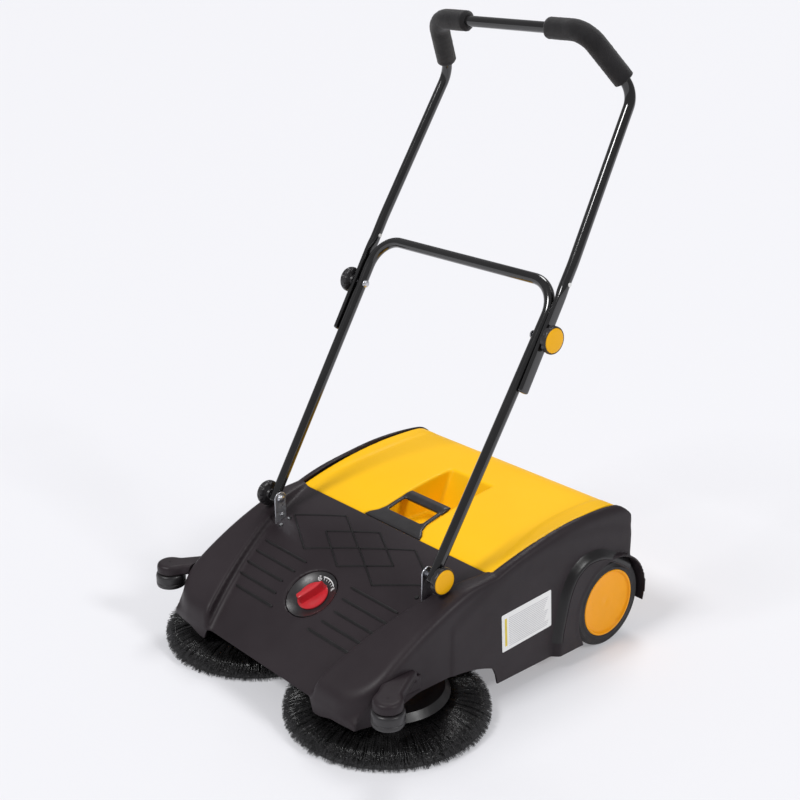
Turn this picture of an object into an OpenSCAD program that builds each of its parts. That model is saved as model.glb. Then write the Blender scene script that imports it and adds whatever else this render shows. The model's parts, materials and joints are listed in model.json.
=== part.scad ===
// Manual push sweeper: front cover, two side boxes with wheels, removable hopper,
// roller brush, two side brushes driven from the right wheel, and a folding handle.
// +X is the right side seen from behind, -Y is the front (brush end), +Z is up.
// The origin is on the floor under the middle of the footprint.

/* [Body] */
// half width of the flat side walls
wall_x = 272; // [260:1:285]
// sheet thickness of the plastic mouldings
skin = 3.5; // [2.5:0.1:5]
// y of the seam between front cover and hopper lid
seam_y = -19.5; // [-40:0.5:0]
// y of the rear faces of the side boxes
rear_y = 328; // [310:1:340]
// y of the front faces of the two cheeks
nose_y = -322; // [-335:1:-300]
// height of the lower edge of the side walls
skirt_z = 30; // [20:1:45]
// height of the front lip of the centre panel
lip_z = 70; // [50:1:90]

/* [Wheels] */
// rear wheel radius
wheel_r = 84; // [70:1:100]
// rear wheel width
wheel_w = 44; // [30:1:55]
// y of the rear wheel axle
axle_y = 266; // [240:1:290]

/* [Brushes] */
// radius swept by a side brush at the floor
disc_r = 177.6; // [150:0.1:190]
// x of a side brush spindle
disc_x = 178; // [160:0.5:200]
// y of a side brush spindle
disc_y = -184; // [-200:1:-160]
// roller brush radius over the bristle tips
roller_r = 61.5; // [50:0.5:75]
// y of the roller brush axis
roller_y = 33; // [20:1:50]

/* [Handle] */
// outside diameter of the handle tubes
tube_d = 19; // [16:0.5:25]
// height of the lower handle pivots
pivot_z = 245.6; // [235:0.1:260]
// y of the lower handle pivots
pivot_y = -115; // [-130:1:-90]
// backward lean of the lower handle from vertical
lower_lean = 31.17; // [20:0.01:40]
// backward lean of the upper handle from vertical
upper_lean = 29.9; // [20:0.1:40]
// distance along the lower handle from its pivot to its top bar
lower_len = 521.8; // [480:0.1:560]
// distance along the lower handle from its pivot to the middle knob
knob_s = 430.5; // [400:0.5:460]
// outside diameter of the clamp knobs
knob_d = 48; // [40:1:60]
// outside diameter of the foam grips
foam_d = 36; // [30:1:42]

/* [Hidden] */
$fn = 96;

BLACK = [0.09, 0.085, 0.095];
YELLOW = [1.0, 0.77, 0.04];
AMBER = [1.0, 0.62, 0.02];
RED = [0.8, 0.1, 0.14];
STEEL = [0.7, 0.71, 0.73];
WHITE = [0.92, 0.92, 0.9];
BELT = [0.75, 0.35, 0.12];
eps = 0.5;
big = 900;

// side-view arcs as [centre y, centre z, radius]
cover_arc = [88.6, -336.2, 576.5];
crease_arc = [101.1, -397.4, 653.1];
rim_arc = [177.6, -203.3, 484.8];
lid_arc = [240, -600.5, 870.6];
lid_tail = [240, 190, 84];
rim_tail = [219.9, 148.5, 132.2];
brush_arch = [-138.5, -177, 265];
arch_end_y = -18.5;

rim_x = 256;
lid_x = 253.5;
shoulder_x = 266;
cheek_z = 50;
nose_r = 66;
nose_c = [206, -256];
split_y = -255;

wheel_x0 = 233;
axle_r = 6;
well_r = wheel_r + 8;
well_x0 = 228;
fender_x = 286;
plate_x = 203;
plate_t = 3;

roller_z = 62;
roller_shaft_r = 5;
hood_r = 66.5;
drive_x = 208;
brush_x = 217.5;
pulley_w = 7.5;
axle_pulley_r = 50;
roller_pulley_r = 20;
small_pulley_r = 15;
belt_r = 2.5;
belt_gap = 0.35;
groove = 0.55;

crown_r = 34;
crown_n = 24;
pinion_n = 8;
tooth_w = 2.6;
tooth_bite = 2.15;
pinion_r = crown_r * pinion_n / crown_n;
crown_z = 123;
crown_tooth_h = 5;
lay_z = crown_z - pinion_r + tooth_bite;
disc_top_z = 60;
spindle_r = 6;

tube_r = tube_d / 2;
bore_r = tube_r - 1.4;
joint_gap = 0.6;
collar_l = 2.5;
bolt_r = 4;
fit = 0.05;
leg_x0 = 215.5;
leg_x1 = 224.8;
lower_bend = 55;
upper_x = 236.5;
foot_x0 = 234.3;
foot_x1 = 243.2;
foot_half = 10.4;
foot_top_s = 84;
upper_kink_s = 130;
upper_foot_s = -98;
upper_crank_s = 432.6;
crank_x = 221;
top_x = 175;
crank_run = [-74.5, 99];
upper_bend = 42;
kink_bend = 300;
grip_bar_x = 95;
grip_end_s = 24;
knob_low_x = leg_x0 + tube_r + 0.8;
knob_mid_x = foot_x1 + 0.8;
knob_w = 17;
bracket_x = 199.5;
bracket_t = 3;
screw_x = 187;

bumper = [307, -294];
bumper_r = 27.5;
bumper_z = 88;
bumper_h = 28;

dial_y = -203;
dial_z = 161;
dial_lean = 30.4;

pocket_x = 54;
pocket_y = 148;
pocket_z = 196;
lid_hem_z = 191;

// ---------- helpers ----------
module xcyl(y, z, r, x0, x1)
  translate([x0, y, z]) rotate([0, 90, 0]) cylinder(r = r, h = x1 - x0);

module arc(a, inset, x0, x1) xcyl(a[0], a[1], a[2] - inset, x0, x1, $fn = 200);

module box(a, b) translate(a) cube(b - a);

module both() {
  children();
  mirror([1, 0, 0]) children();
}

module rod(a, b, r) {
  d = b - a;
  translate(a) rotate([0, acos(d[2] / norm(d)), atan2(d[1], d[0])])
    cylinder(r = r, h = norm(d));
}

function unit(v) = v / norm(v);
function turn(a, v, b) = acos(unit(v - a) * unit(b - v));
function setback(a, v, b, bend) = bend * tan(turn(a, v, b) / 2);
function euler(u, v, w) = [atan2(v[2], w[2]), asin(-u[2]), atan2(u[1], u[0])];

// ring that rounds the corner a-v-b of a tube centre line, collared at both ends
module elbow(a, v, b, bend, r, collar = 0.4) {
  d = unit(v - a);
  e = unit(b - v);
  t = setback(a, v, b, bend);
  n = unit(cross(d, e));
  out = cross(d, n);
  trim = joint_gap / bend * 180 / PI;
  translate(v - d * t - out * bend) rotate(euler(out, d, n))
    rotate([0, 0, trim]) rotate_extrude(angle = turn(a, v, b) - 2 * trim)
      translate([bend, 0]) circle(r = r);
  rod(v - d * (t + collar_l), v - d * (t - collar_l), r + collar);
  rod(v + e * (t - collar_l), v + e * (t + collar_l), r + collar);
}

// straight run between the set-back points of two neighbouring corners
module run(a, b, t0, t1, r) {
  d = unit(b - a);
  rod(a + d * t0, b - d * t1, r);
}

// ---------- body mouldings ----------
module front_mass(o, half = rim_x) intersection() {
  arc(cover_arc, o, -half, half);
  box([-big, nose_y + 2 + o, 0], [big, seam_y - 0.6 + min(o, eps), big]);
}

// raised cheek on the right, open towards the side wall
module cheek_mass(o, side = 0) intersection() {
  arc(crease_arc, o, 0, wall_x + 1);
  linear_extrude(big) {
    polygon([
      [250 + o * 1.06, seam_y - 0.6 + side], [150 + o * 1.06, nose_y + o],
      [nose_c[0], nose_y + o], nose_c, [rim_x + side, nose_c[1]],
      [rim_x + side, seam_y - 0.6 + side]
    ]);
    intersection() {
      translate(nose_c) circle(r = nose_r - o, $fn = 96);
      translate([nose_c[0], nose_c[1] - big]) square(big);
    }
  }
}

module diamond(cx) translate([cx, -94]) difference() {
  scale_x = 95;
  scale_y = 51;
  bar = 3.4;
  polygon([[-scale_x, 0], [0, scale_y], [scale_x, 0], [0, -scale_y]]);
  polygon([
    [-scale_x + 2 * bar, 0], [0, scale_y - bar], [scale_x - 2 * bar, 0],
    [0, -scale_y + bar]
  ]);
}

module rib_marks() {
  rows = [[-163.5, 62, 183], [-186.5, 66, 181], [-209.5, 72, 178],
          [-230.5, 64, 172], [-250, 50, 158]];
  for (r = rows)
    translate([r[1], r[0] - 2.5]) square([r[2] - r[1], 5]);
}

module dial_tilt() translate([0, dial_y, dial_z]) rotate([dial_lean, 0, 0])
  children();

// screw positions of a pivot bracket, square to the cover
module bracket_axes() for (y = [pivot_y - 10, pivot_y + 10])
  translate([0, cover_arc[0], cover_arc[1]])
    rotate([asin((cover_arc[0] - y) / cover_arc[2]), 0, 0])
      translate([screw_x, 0, cover_arc[2]]) children();

module bracket_holes() bracket_axes()
  translate([0, 0, -15]) cylinder(r = 2.6, h = 20);

module front_cover() color(BLACK) {
  relief = 1.2;
  difference() {
    union() {
      front_mass(0);
      intersection() {
        front_mass(-relief);
        linear_extrude(big) {
          for (cx = [-94, 0, 94]) diamond(cx);
          rib_marks();
          mirror([1, 0]) rib_marks();
        }
      }
      both() cheek_mass(0);
    }
    difference() {
      union() {
        front_mass(skin, rim_x + 1);
        both() cheek_mass(skin, 1);
      }
      dial_tilt() translate([0, 0, -11]) cylinder(r = 53, h = 20);
    }
    both() box([150, nose_y - 10, -10], [rim_x + 20, 0, cheek_z]);
    box([-150.1, nose_y - 10, -10], [150.1, -255, lip_z]);
    box([-rim_x - 1, -255.1, -10], [rim_x + 1, 0, 100]);
    dial_tilt() translate([0, 0, -7]) cylinder(r = 49, h = 30);
    dial_tilt() translate([0, 0, -20]) cylinder(r = 6.2, h = 30);
    both() bracket_holes();
    both() box([bracket_x - 0.3, pivot_y - 13.3, 190],
      [bracket_x + bracket_t + 0.3, pivot_y + 13.3, 230]);
  }
}

// solid filling of a right side box down to the floor
module side_mass(o) intersection() {
  union() {
    arc(crease_arc, o, rim_x, wall_x - o);
    arc(rim_arc, o, rim_x, shoulder_x - o);
  }
  union() {
    box([0, split_y, 0], [big, 225, big]);
    arc(rim_tail, o, 0, big);
  }
  box([0, split_y, 0], [big, rear_y - o, big]);
}

module wheel_space(r) xcyl(axle_y, wheel_r, r, well_x0, big);

module fender() {
  flare = 18;
  difference() {
    union() {
      intersection() {
        translate([fender_x - flare, 252, 80]) rotate([0, 90, 0])
          cylinder(r1 = 138, r2 = 98, h = flare);
        box([0, 0, skirt_z], [big, rear_y, big]);
      }
      xcyl(axle_y, wheel_r, well_r + skin, well_x0, fender_x);
    }
    translate([fender_x - flare - 0.1, 252, 80]) rotate([0, 90, 0])
      cylinder(r1 = 130, r2 = 90, h = flare - skin);
    xcyl(axle_y, wheel_r, well_r, well_x0 + skin, fender_x + 1);
    box([0, 0, -50], [big, axle_y, 36]);
    box([0, axle_y - 1, -50], [big, big, 77]);
  }
}

module side_panel() difference() {
  union() {
    difference() {
      side_mass(0);
      translate([-skin, 0, 0]) side_mass(skin);
      box([rim_x - 1, split_y - 1, -1], [wall_x - skin, rear_y + 1, 186]);
      intersection() {
        arc(brush_arch, 0, 0, big);
        box([0, -big, -50], [big, arch_end_y, big]);
      }
      box([0, split_y - 1, -1], [big, big, skirt_z]);
      wheel_space(well_r + 1);
      xcyl(252, 80, 128, fender_x - 22, big);
    }
    fender();
    intersection() {
      box([plate_x + plate_t, -60, 186], [wall_x - skin, rear_y, 189.5]);
      arc(crease_arc, skin, 0, big);
    }
    box([plate_x + plate_t, rear_y - skin, 100], [wall_x - skin, rear_y, 186]);
    xcyl(disc_y, lay_z, 12, 240, wall_x - 1);
  }
  xcyl(disc_y, lay_z, 4, 0, wall_x - skin);
  wheel_space(well_r);
  xcyl(axle_y, wheel_r, 20, 0, big);
}

module side_panel_right() color(BLACK) side_panel();

module side_panel_left() color(BLACK) mirror([1, 0, 0]) side_panel();

module carrier_plate() difference() {
  union() {
    box([plate_x, -40, 40], [plate_x + plate_t, rear_y - 4, 186]);
    xcyl(roller_y, roller_z, 12, plate_x, plate_x + plate_t + 1);
    xcyl(axle_y, wheel_r, 14, plate_x, plate_x + plate_t + 1);
  }
  xcyl(roller_y, roller_z, roller_shaft_r + fit, 0, big);
  xcyl(axle_y, wheel_r, axle_r, 0, big);
  box([0, 120, 60], [big, 200, 150]);
}

module carrier_plate_right() color(STEEL) carrier_plate();

module carrier_plate_left() color(STEEL) mirror([1, 0, 0]) carrier_plate();

module roller_hood() color(BLACK) difference() {
  half = plate_x - 0.2;
  xcyl(roller_y, roller_z, hood_r + 3, -half, half);
  xcyl(roller_y, roller_z, hood_r, -half - 1, half + 1);
  box([-big, -big, -50], [big, big, 48]);
  box([-big, roller_y + 50, -50], [big, big, 104]);
}

module lip_bar() color(STEEL)
  box([-plate_x, 102, 40], [plate_x, 105, 52]);

module dirt_lip() color(BLACK)
  box([-198, 99.5, 6], [198, 102, 50]);

module brush_beam() color(STEEL) difference() {
  half = 268.3;
  union() {
    box([-half, disc_y - 26, 136], [half, disc_y + 26, 138.5]);
    for (y = [disc_y - 26, disc_y + 23.5])
      box([-half, y, 138.5], [half, y + 2.5, 150]);
  }
  both() translate([disc_x, disc_y, 100]) cylinder(r = spindle_r, h = 60);
  dial_tilt() translate([0, 0, -40]) cylinder(r = 12, h = 60);
  dial_tilt() translate([0, 0, -11.4]) cylinder(r = 54, h = 60);
}

module spindles() color(STEEL) both() translate([disc_x, disc_y, 0]) {
  translate([0, 0, 38]) cylinder(r = spindle_r, h = 106);
}

module spindle_bolts() color(STEEL) both() translate([disc_x, disc_y, 0]) {
  translate([0, 0, 35]) cylinder(r = 11, h = 3);
  translate([0, 0, 29]) cylinder(r = 7.5, h = 6, $fn = 6);
}

module lay_pins() color(STEEL) both() {
  xcyl(disc_y, lay_z, 4, 206, wall_x - skin - 0.1);
  xcyl(disc_y, lay_z, 7, 228, 232);
}

module stub_axles() color(STEEL) both() {
  xcyl(axle_y, wheel_r, axle_r, 200, 266);
  xcyl(axle_y, wheel_r, 10, 199, plate_x);
}

// ---------- drive ----------
// open belt loop around two pulley grooves, centre lines at radii ra and rb
module belt(x, a, ra, b, rb) {
  d = b - a;
  lean = atan2(d[1], d[0]);
  spread = acos((ra - rb) / norm(d));
  trim = 1.5;
  collar = belt_r + 0.25;
  for (s = [-1, 1]) {
    t = lean + s * spread;
    p = [x, a[0] + ra * cos(t), a[1] + ra * sin(t)];
    q = [x, b[0] + rb * cos(t), b[1] + rb * sin(t)];
    run(p, q, trim / 2, trim / 2, belt_r);
    run(p, q, -trim, norm(q - p) - trim, collar);
    run(p, q, norm(q - p) - trim, -trim, collar);
  }
  trim_a = 45 / ra;
  trim_b = 45 / rb;
  translate([x, a[0], a[1]]) rotate([90, 0, 90])
    rotate([0, 0, lean + spread + trim_a])
      rotate_extrude(angle = 360 - 2 * spread - 2 * trim_a)
        translate([ra, 0]) circle(r = belt_r, $fn = 24);
  translate([x, b[0], b[1]]) rotate([90, 0, 90])
    rotate([0, 0, lean - spread + trim_b])
      rotate_extrude(angle = 2 * spread - 2 * trim_b)
        translate([rb, 0]) circle(r = belt_r, $fn = 24);
}

module drive_belt() color(BELT)
  belt(drive_x + pulley_w / 2, [axle_y, wheel_r], axle_pulley_r + belt_gap,
       [roller_y, roller_z], roller_pulley_r + belt_gap);

module brush_belt_right() color(BELT)
  belt(brush_x + pulley_w / 2, [roller_y, roller_z], small_pulley_r + belt_gap,
       [disc_y, lay_z], small_pulley_r + belt_gap);

module brush_belt_left() mirror([1, 0, 0]) brush_belt_right();

// grooved pulley along X, groove centre line at radius r
module pulley(x, r, bore) translate([x, 0, 0]) rotate([90, 0, 90])
  rotate_extrude() difference() {
    translate([bore, 0]) square([r + 3 - bore, pulley_w]);
    translate([r, pulley_w / 2]) circle(r = belt_r + groove, $fn = 24);
    translate([r, pulley_w / 2 - belt_r - groove])
      square([10, 2 * (belt_r + groove)]);
  }

module tyre() translate([wheel_x0, axle_y, wheel_r]) rotate([90, 0, 90])
  difference() {
    rotate_extrude($fn = 120) difference() {
      polygon([
        [64, 0], [wheel_r - 4, 0], [wheel_r, 5], [wheel_r, wheel_w - 5],
        [wheel_r - 4, wheel_w], [64, wheel_w]
      ]);
      for (h = [14, 28]) translate([wheel_r - 1.5, h]) square([3, 2]);
    }
  }

module tyre_right() color(BLACK) tyre();

module tyre_left() color(BLACK) mirror([1, 0, 0]) tyre();

module hub() translate([wheel_x0, axle_y, wheel_r]) rotate([90, 0, 90])
  rotate_extrude($fn = 120) polygon([
    [axle_r + fit, 3], [15, 3], [15, 14], [60.5, 14], [60.5, 2], [63.9, 2],
    [63.9, wheel_w - 0.2], [59, wheel_w - 0.2], [56, wheel_w - 5],
    [20, wheel_w - 7], [0, wheel_w - 6.4], [0, 33.5], [axle_r + fit, 33.5]
  ]);

module hub_right() color(AMBER) hub();

module hub_left() color(AMBER) mirror([1, 0, 0]) hub();

module drive_pulley() color(BLACK) translate([0, axle_y, wheel_r]) {
  pulley(drive_x, axle_pulley_r, axle_r + fit);
  translate([drive_x + pulley_w, 0, 0]) rotate([90, 0, 90]) difference() {
    cylinder(r = 15, h = wheel_x0 + 3 - drive_x - pulley_w);
    cylinder(r = axle_r + fit, h = 60);
  }
}

module roller_core() color(BLACK) {
  xcyl(roller_y, roller_z, 22, -196, 196);
  both() xcyl(roller_y, roller_z, roller_shaft_r, 196, 226.5);
}

module roller_bristles() color(BLACK) difference() {
  xcyl(roller_y, roller_z, roller_r, -194, 194);
  xcyl(roller_y, roller_z, 22, -big, big);
}

module roller_pulleys() color(BLACK) translate([0, roller_y, roller_z]) {
  pulley(drive_x, roller_pulley_r, roller_shaft_r);
  both() pulley(brush_x, small_pulley_r, roller_shaft_r);
}

module lay_gear() translate([0, disc_y, lay_z]) {
  pulley(brush_x, small_pulley_r, 4 + fit);
  difference() {
    root = pinion_r - 3;
    union() {
      xcyl(0, 0, root, 208, brush_x);
      for (k = [0 : pinion_n - 1]) rotate([k * 360 / pinion_n, 0, 0])
        box([208, -tooth_w / 2, 0], [216, tooth_w / 2, pinion_r + tooth_bite]);
    }
    xcyl(0, 0, 4 + fit, 0, big);
  }
}

module lay_gear_right() color(WHITE) lay_gear();

module lay_gear_left() color(WHITE) mirror([1, 0, 0]) lay_gear();

module crown_gear() translate([disc_x, disc_y, 0]) difference() {
  union() {
    translate([0, 0, crown_z + crown_tooth_h]) cylinder(r = 38.5, h = 3);
    for (k = [0 : crown_n - 1])
      rotate([0, 0, (k + 0.5) * 360 / crown_n])
        box([crown_r - 4.2, -tooth_w / 2, crown_z], [crown_r + 4.2, tooth_w / 2,
            crown_z + crown_tooth_h + eps]);
    translate([0, 0, disc_top_z]) cylinder(r = 13,
      h = crown_z + crown_tooth_h - disc_top_z);
  }
  cylinder(r = spindle_r + fit, h = big);
}

module crown_gear_right() color(WHITE) crown_gear();

module crown_gear_left() color(WHITE) mirror([1, 0, 0]) crown_gear();

// dished carrier that holds the roots of the side brush bristles
module brush_disc() translate([disc_x, disc_y, 0]) rotate_extrude($fn = 120)
  polygon([
    [spindle_r + fit, 40], [20, 40], [24, 50], [72, 50], [76, 44], [104, 40],
    [107, 45], [98, 57], [82, disc_top_z], [spindle_r + fit, disc_top_z]
  ]);

module brush_disc_right() color(BLACK) brush_disc();

module brush_disc_left() color(BLACK) mirror([1, 0, 0]) brush_disc();

module bristle_ring() translate([disc_x, disc_y, 0]) rotate_extrude($fn = 120)
  polygon([
    [78, 43.4], [104, 39.8], [112, 37], [150, 24], [disc_r - 1, 8],
    [disc_r, 0.6], [150, 0.6], [104, 18], [78, 34]
  ]);

module bristle_ring_right() color(BLACK) bristle_ring();

module bristle_ring_left() color(BLACK) mirror([1, 0, 0]) bristle_ring();

// ---------- fittings on the body ----------
module pivot_bracket() difference() {
  foot_o = skin + 0.05;
  union() {
    box([bracket_x, pivot_y - 13, 190], [bracket_x + bracket_t, pivot_y + 13, pivot_z]);
    xcyl(pivot_y, pivot_z, 13, bracket_x, bracket_x + bracket_t);
    intersection() {
      box([screw_x - 10, pivot_y - 20, 150], [bracket_x + bracket_t, pivot_y + 20, 250]);
      difference() {
        arc(cover_arc, foot_o, 0, big);
        arc(cover_arc, foot_o + 2.6, 0, big);
      }
    }
  }
  arc(cover_arc, foot_o + 2.6, 0, big);
  xcyl(pivot_y, pivot_z, bolt_r, 0, big);
  bracket_holes();
}

module pivot_brackets() color(STEEL) both() pivot_bracket();

module bracket_screws() color(BLACK) both() bracket_axes() {
  translate([0, 0, -9]) cylinder(r = 2.5, h = 9.1);
  translate([0, 0, 0.05]) cylinder(r1 = 4.2, r2 = 3.4, h = 1.8);
}

module pivot_bolts() color(STEEL) both() {
  xcyl(pivot_y, pivot_z, bolt_r, bracket_x - 1, knob_low_x + 11);
  xcyl(pivot_y, pivot_z, 7.5, bracket_x - 5, bracket_x - 0.01);
}

module dial_plate() color(BLACK) dial_tilt() difference() {
  translate([0, 0, -6.9]) cylinder(r = 48.8, h = 1.4);
  translate([0, 0, -8]) cylinder(r = 6.2, h = 10);
}

module label() color(WHITE) translate([wall_x, 51, 126]) rotate([3.5, 0, 0])
  box([0, -61, -36], [0.6, 61, 36]);

module bumper_bracket() difference() {
  bx = bumper[0];
  by = bumper[1];
  union() {
    translate([bx, by, bumper_z + bumper_h + 1]) cylinder(r = 22, h = 14);
    intersection() {
      translate([0, 0, bumper_z + bumper_h + 1]) linear_extrude(14) polygon([
        [wall_x - 12, by + 20], [bx, by - 22], [bx + 22, by], [bx + 8, by + 24],
        [wall_x - 1, split_y + 60], [wall_x - 12, split_y + 60]
      ]);
      box([0, -big, 0], [big, big, big]);
    }
    box([wall_x + 0.05, split_y - 12, bumper_z + 8],
      [wall_x + 5, split_y + 60, bumper_z + bumper_h + 2]);
  }
  translate([nose_c[0], nose_c[1], 0]) cylinder(r = nose_r + 0.05, h = big);
  box([0, split_y, 0], [wall_x + 0.05, big, big]);
  box([0, -big, 0], [wall_x - 14, big, big]);
  translate([bx, by, 0]) cylinder(r = 4, h = big);
}

module bumper_brackets() color(BLACK) both() bumper_bracket();

module bumper_pins() color(STEEL) both() translate([bumper[0], bumper[1], 0]) {
  translate([0, 0, bumper_z - 4]) cylinder(r = 4, h = bumper_h + 22);
  translate([0, 0, bumper_z - 7]) cylinder(r = 8, h = 6.5);
}

module bumper_roller() translate([bumper[0], bumper[1], bumper_z])
  rotate_extrude() polygon([
    [4 + fit, 0], [bumper_r - 3, 0], [bumper_r, 4], [bumper_r, bumper_h - 4],
    [bumper_r - 3, bumper_h], [4 + fit, bumper_h]
  ]);

module bumper_roller_right() color(BLACK) bumper_roller();

module bumper_roller_left() color(BLACK) mirror([1, 0, 0]) bumper_roller();

module dial_knob() color(RED) dial_tilt() {
  translate([0, 0, -5.2]) cylinder(r = 29, h = 3);
  translate([0, 0, -2.2]) cylinder(r = 20, h = 2.4);
  rotate([0, 0, 38]) difference() {
    union() {
      box([-25, -7, -2.2], [25, 7, 13]);
      translate([25, 0, -2.2]) cylinder(r = 7, h = 15.2);
      translate([-25, 0, -2.2]) cylinder(r = 7, h = 15.2);
    }
    for (s = [-1, 1]) translate([0, s * 47, 0]) cylinder(r = 42.5, h = 30);
  }
  translate([0, 0, -24]) cylinder(r = 6.12, h = 19);
}

// ---------- hopper ----------
module lid_mass(o, half) intersection() {
  arc(lid_arc, o, -half, half);
  union() {
    box([-big, seam_y, 0], [big, 250, big]);
    arc(lid_tail, o, -half - 1, half + 1);
    box([-big, 230, 0], [big, lid_tail[0] + lid_tail[2] - o, lid_tail[1]]);
  }
}

// plan outline of the grip recess, widened by g
module recess(g, back) polygon([
  [-77 - g, seam_y - 1], [-73 - g, -8], [-61 - g, 3], [-56 - g, 20],
  [-pocket_x - g, back], [pocket_x + g, back], [56 + g, 20], [61 + g, 3],
  [73 + g, -8], [77 + g, seam_y - 1]
]);

module hopper_lid() color(YELLOW) difference() {
  union() {
    difference() {
      lid_mass(0, lid_x);
      lid_mass(skin, lid_x - skin);
      lid_mass(14, big);
    }
    difference() {
      intersection() {
        lid_mass(1, lid_x);
        translate([0, 0, pocket_z - skin])
          linear_extrude(200) recess(3, pocket_y + 3);
      }
      box([-big, -big, 0], [big, seam_y + 3, big]);
    }
    box([-lid_x, lid_tail[0] + lid_tail[2] - skin, 192],
        [lid_x, lid_tail[0] + lid_tail[2] - 0.01, 215]);
  }
  difference() {
    translate([0, 0, pocket_z]) linear_extrude(200) recess(0, pocket_y);
    translate([0, pocket_y, pocket_z]) rotate([-28, 0, 0])
      box([-big, 0, -60], [big, 120, 200]);
  }
  box([-big, 200, -1], [big, big, lid_hem_z]);
}

module hopper_tub() color(YELLOW) difference() {
  front = 108;
  intersection() {
    box([-195, front, 38], [195, lid_tail[0] + lid_tail[2] - skin - 0.05, big]);
    lid_mass(skin + 0.05, big);
  }
  intersection() {
    box([-192, front + 3, 41], [192, lid_tail[0] + lid_tail[2] - 2 * skin, big]);
    box([-big, -big, 0], [big, big, big]);
  }
  box([-192, front - 5, 60], [192, front + 10, big]);
  translate([0, 0, pocket_z - skin - 0.3])
    linear_extrude(200) recess(3.3, pocket_y + 3.3);
}

module carry_handle() color(BLACK) {
  difference() {
    intersection() {
      difference() {
        lid_mass(0.2, big);
        lid_mass(5.2, big);
      }
      linear_extrude(big) intersection() {
        recess(-1.4, 82);
        translate([-200, seam_y + 2]) square([400, 102]);
      }
    }
    translate([-43, 24, 0]) cube([86, 34, big]);
  }
  intersection() {
    xcyl(70, 246.8, 8.6, -pocket_x + 3.2, pocket_x - 3.2);
    lid_mass(0.6, big);
  }
  xcyl(-13, 227, 3, -40, 40);
}

// ---------- handle ----------
module lower_frame() translate([0, pivot_y, pivot_z]) rotate([-lower_lean, 0, 0])
  children();

module upper_frame() lower_frame() translate([0, 0, knob_s])
  rotate([lower_lean - upper_lean, 0, 0]) children();

function lower_pts(s) = [[s * leg_x0, 0, -14], [s * leg_x1, 0, lower_len], [0, 0, lower_len]];

module lower_handle() color(BLACK) lower_frame() {
  corner = setback(lower_pts(1)[0], lower_pts(1)[1], lower_pts(1)[2], lower_bend);
  difference() {
    union() for (s = [-1, 1]) {
      p = lower_pts(s);
      run(p[0], p[1], 0, corner + joint_gap, tube_r);
      elbow(p[0], p[1], p[2], lower_bend, tube_r);
    }
    for (s = [-1, 1])
      run(lower_pts(s)[0], lower_pts(s)[1], -1, corner + 9, bore_r);
    xcyl(0, 0, bolt_r + fit, -big, big);
    xcyl(0, knob_s, bolt_r, -big, big);
  }
  bar = leg_x1 - corner - joint_gap;
  difference() {
    xcyl(0, lower_len, tube_r, -bar, bar);
    xcyl(0, lower_len, bore_r, 9 - bar, bar - 9);
  }
}

module mid_bolts() color(STEEL) lower_frame() translate([0, 0, knob_s]) both() {
  lower_x = leg_x0 + (leg_x1 - leg_x0) * knob_s / lower_len;
  xcyl(0, 0, bolt_r, lower_x - tube_r - 1, knob_mid_x + 11);
  xcyl(0, 0, 7.5, lower_x - tube_r - 5, lower_x - tube_r - 0.3);
}

// centre line of the upper handle from its foot to the middle of the top bar
function crank_top() = let (
    y = crank_run[0] * cos(upper_lean) - crank_run[1] * sin(upper_lean),
    z = crank_run[0] * sin(upper_lean) + crank_run[1] * cos(upper_lean)
  ) [y, upper_crank_s + z];

function upper_pts(s) = [
  [s * upper_x, 0, upper_foot_s], [s * upper_x, 0, upper_kink_s],
  [s * crank_x, 0, upper_crank_s], [s * top_x, crank_top()[0], crank_top()[1]],
  [0, crank_top()[0], crank_top()[1]]
];

module upper_handle() color(BLACK) upper_frame() {
  p = upper_pts(1);
  t1 = setback(p[0], p[1], p[2], kink_bend);
  t2 = setback(p[1], p[2], p[3], upper_bend);
  t3 = setback(p[2], p[3], p[4], upper_bend);
  both() difference() {
    union() {
      box([foot_x0, -foot_half, upper_foot_s], [foot_x1, foot_half, foot_top_s]);
      run(p[0], p[1], foot_top_s - upper_foot_s - 8, t1 + joint_gap, tube_r);
      elbow(p[0], p[1], p[2], kink_bend, tube_r);
      run(p[1], p[2], t1 + joint_gap, t2 + joint_gap, tube_r);
      elbow(p[1], p[2], p[3], upper_bend, tube_r);
      run(p[2], p[3], t2 + joint_gap, t3 + joint_gap, tube_r);
      elbow(p[2], p[3], p[4], upper_bend, tube_r);
    }
    box([foot_x0 + 1.4, 1.4 - foot_half, upper_foot_s - 1],
        [foot_x1 - 1.4, foot_half - 1.4, foot_top_s - 12]);
    run(p[1], p[2], t1 + 9, t2 + 9, bore_r);
    xcyl(0, 0, bolt_r + fit, -big, big);
  }
  bar = top_x - t3 - joint_gap;
  difference() {
    xcyl(p[4][1], p[4][2], tube_r, -bar, bar);
    xcyl(p[4][1], p[4][2], bore_r, 9 - bar, bar - 9);
  }
}

module grip_sweep(r, extra) {
  p = upper_pts(1);
  t2 = setback(p[1], p[2], p[3], upper_bend);
  t3 = setback(p[2], p[3], p[4], upper_bend);
  run(p[2], p[3], grip_end_s - extra, t3 + joint_gap, r);
  elbow(p[2], p[3], p[4], upper_bend, r);
  run(p[3], p[4], t3 + joint_gap, grip_bar_x - extra, r);
}

module grip() upper_frame() difference() {
  grip_sweep(foam_d / 2, 0);
  grip_sweep(tube_r + 0.6, 1);
}

module grip_right() color(BLACK) grip();

module grip_left() color(BLACK) mirror([1, 0, 0]) grip();

module tube_plugs() color(WHITE) upper_frame() both() for (d = [-1, 1])
  translate([upper_x + d * (tube_r + 0.75), 0, 95]) rotate([0, 90, 0])
    cylinder(r = 3.4, h = 1.4, center = true);

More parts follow.
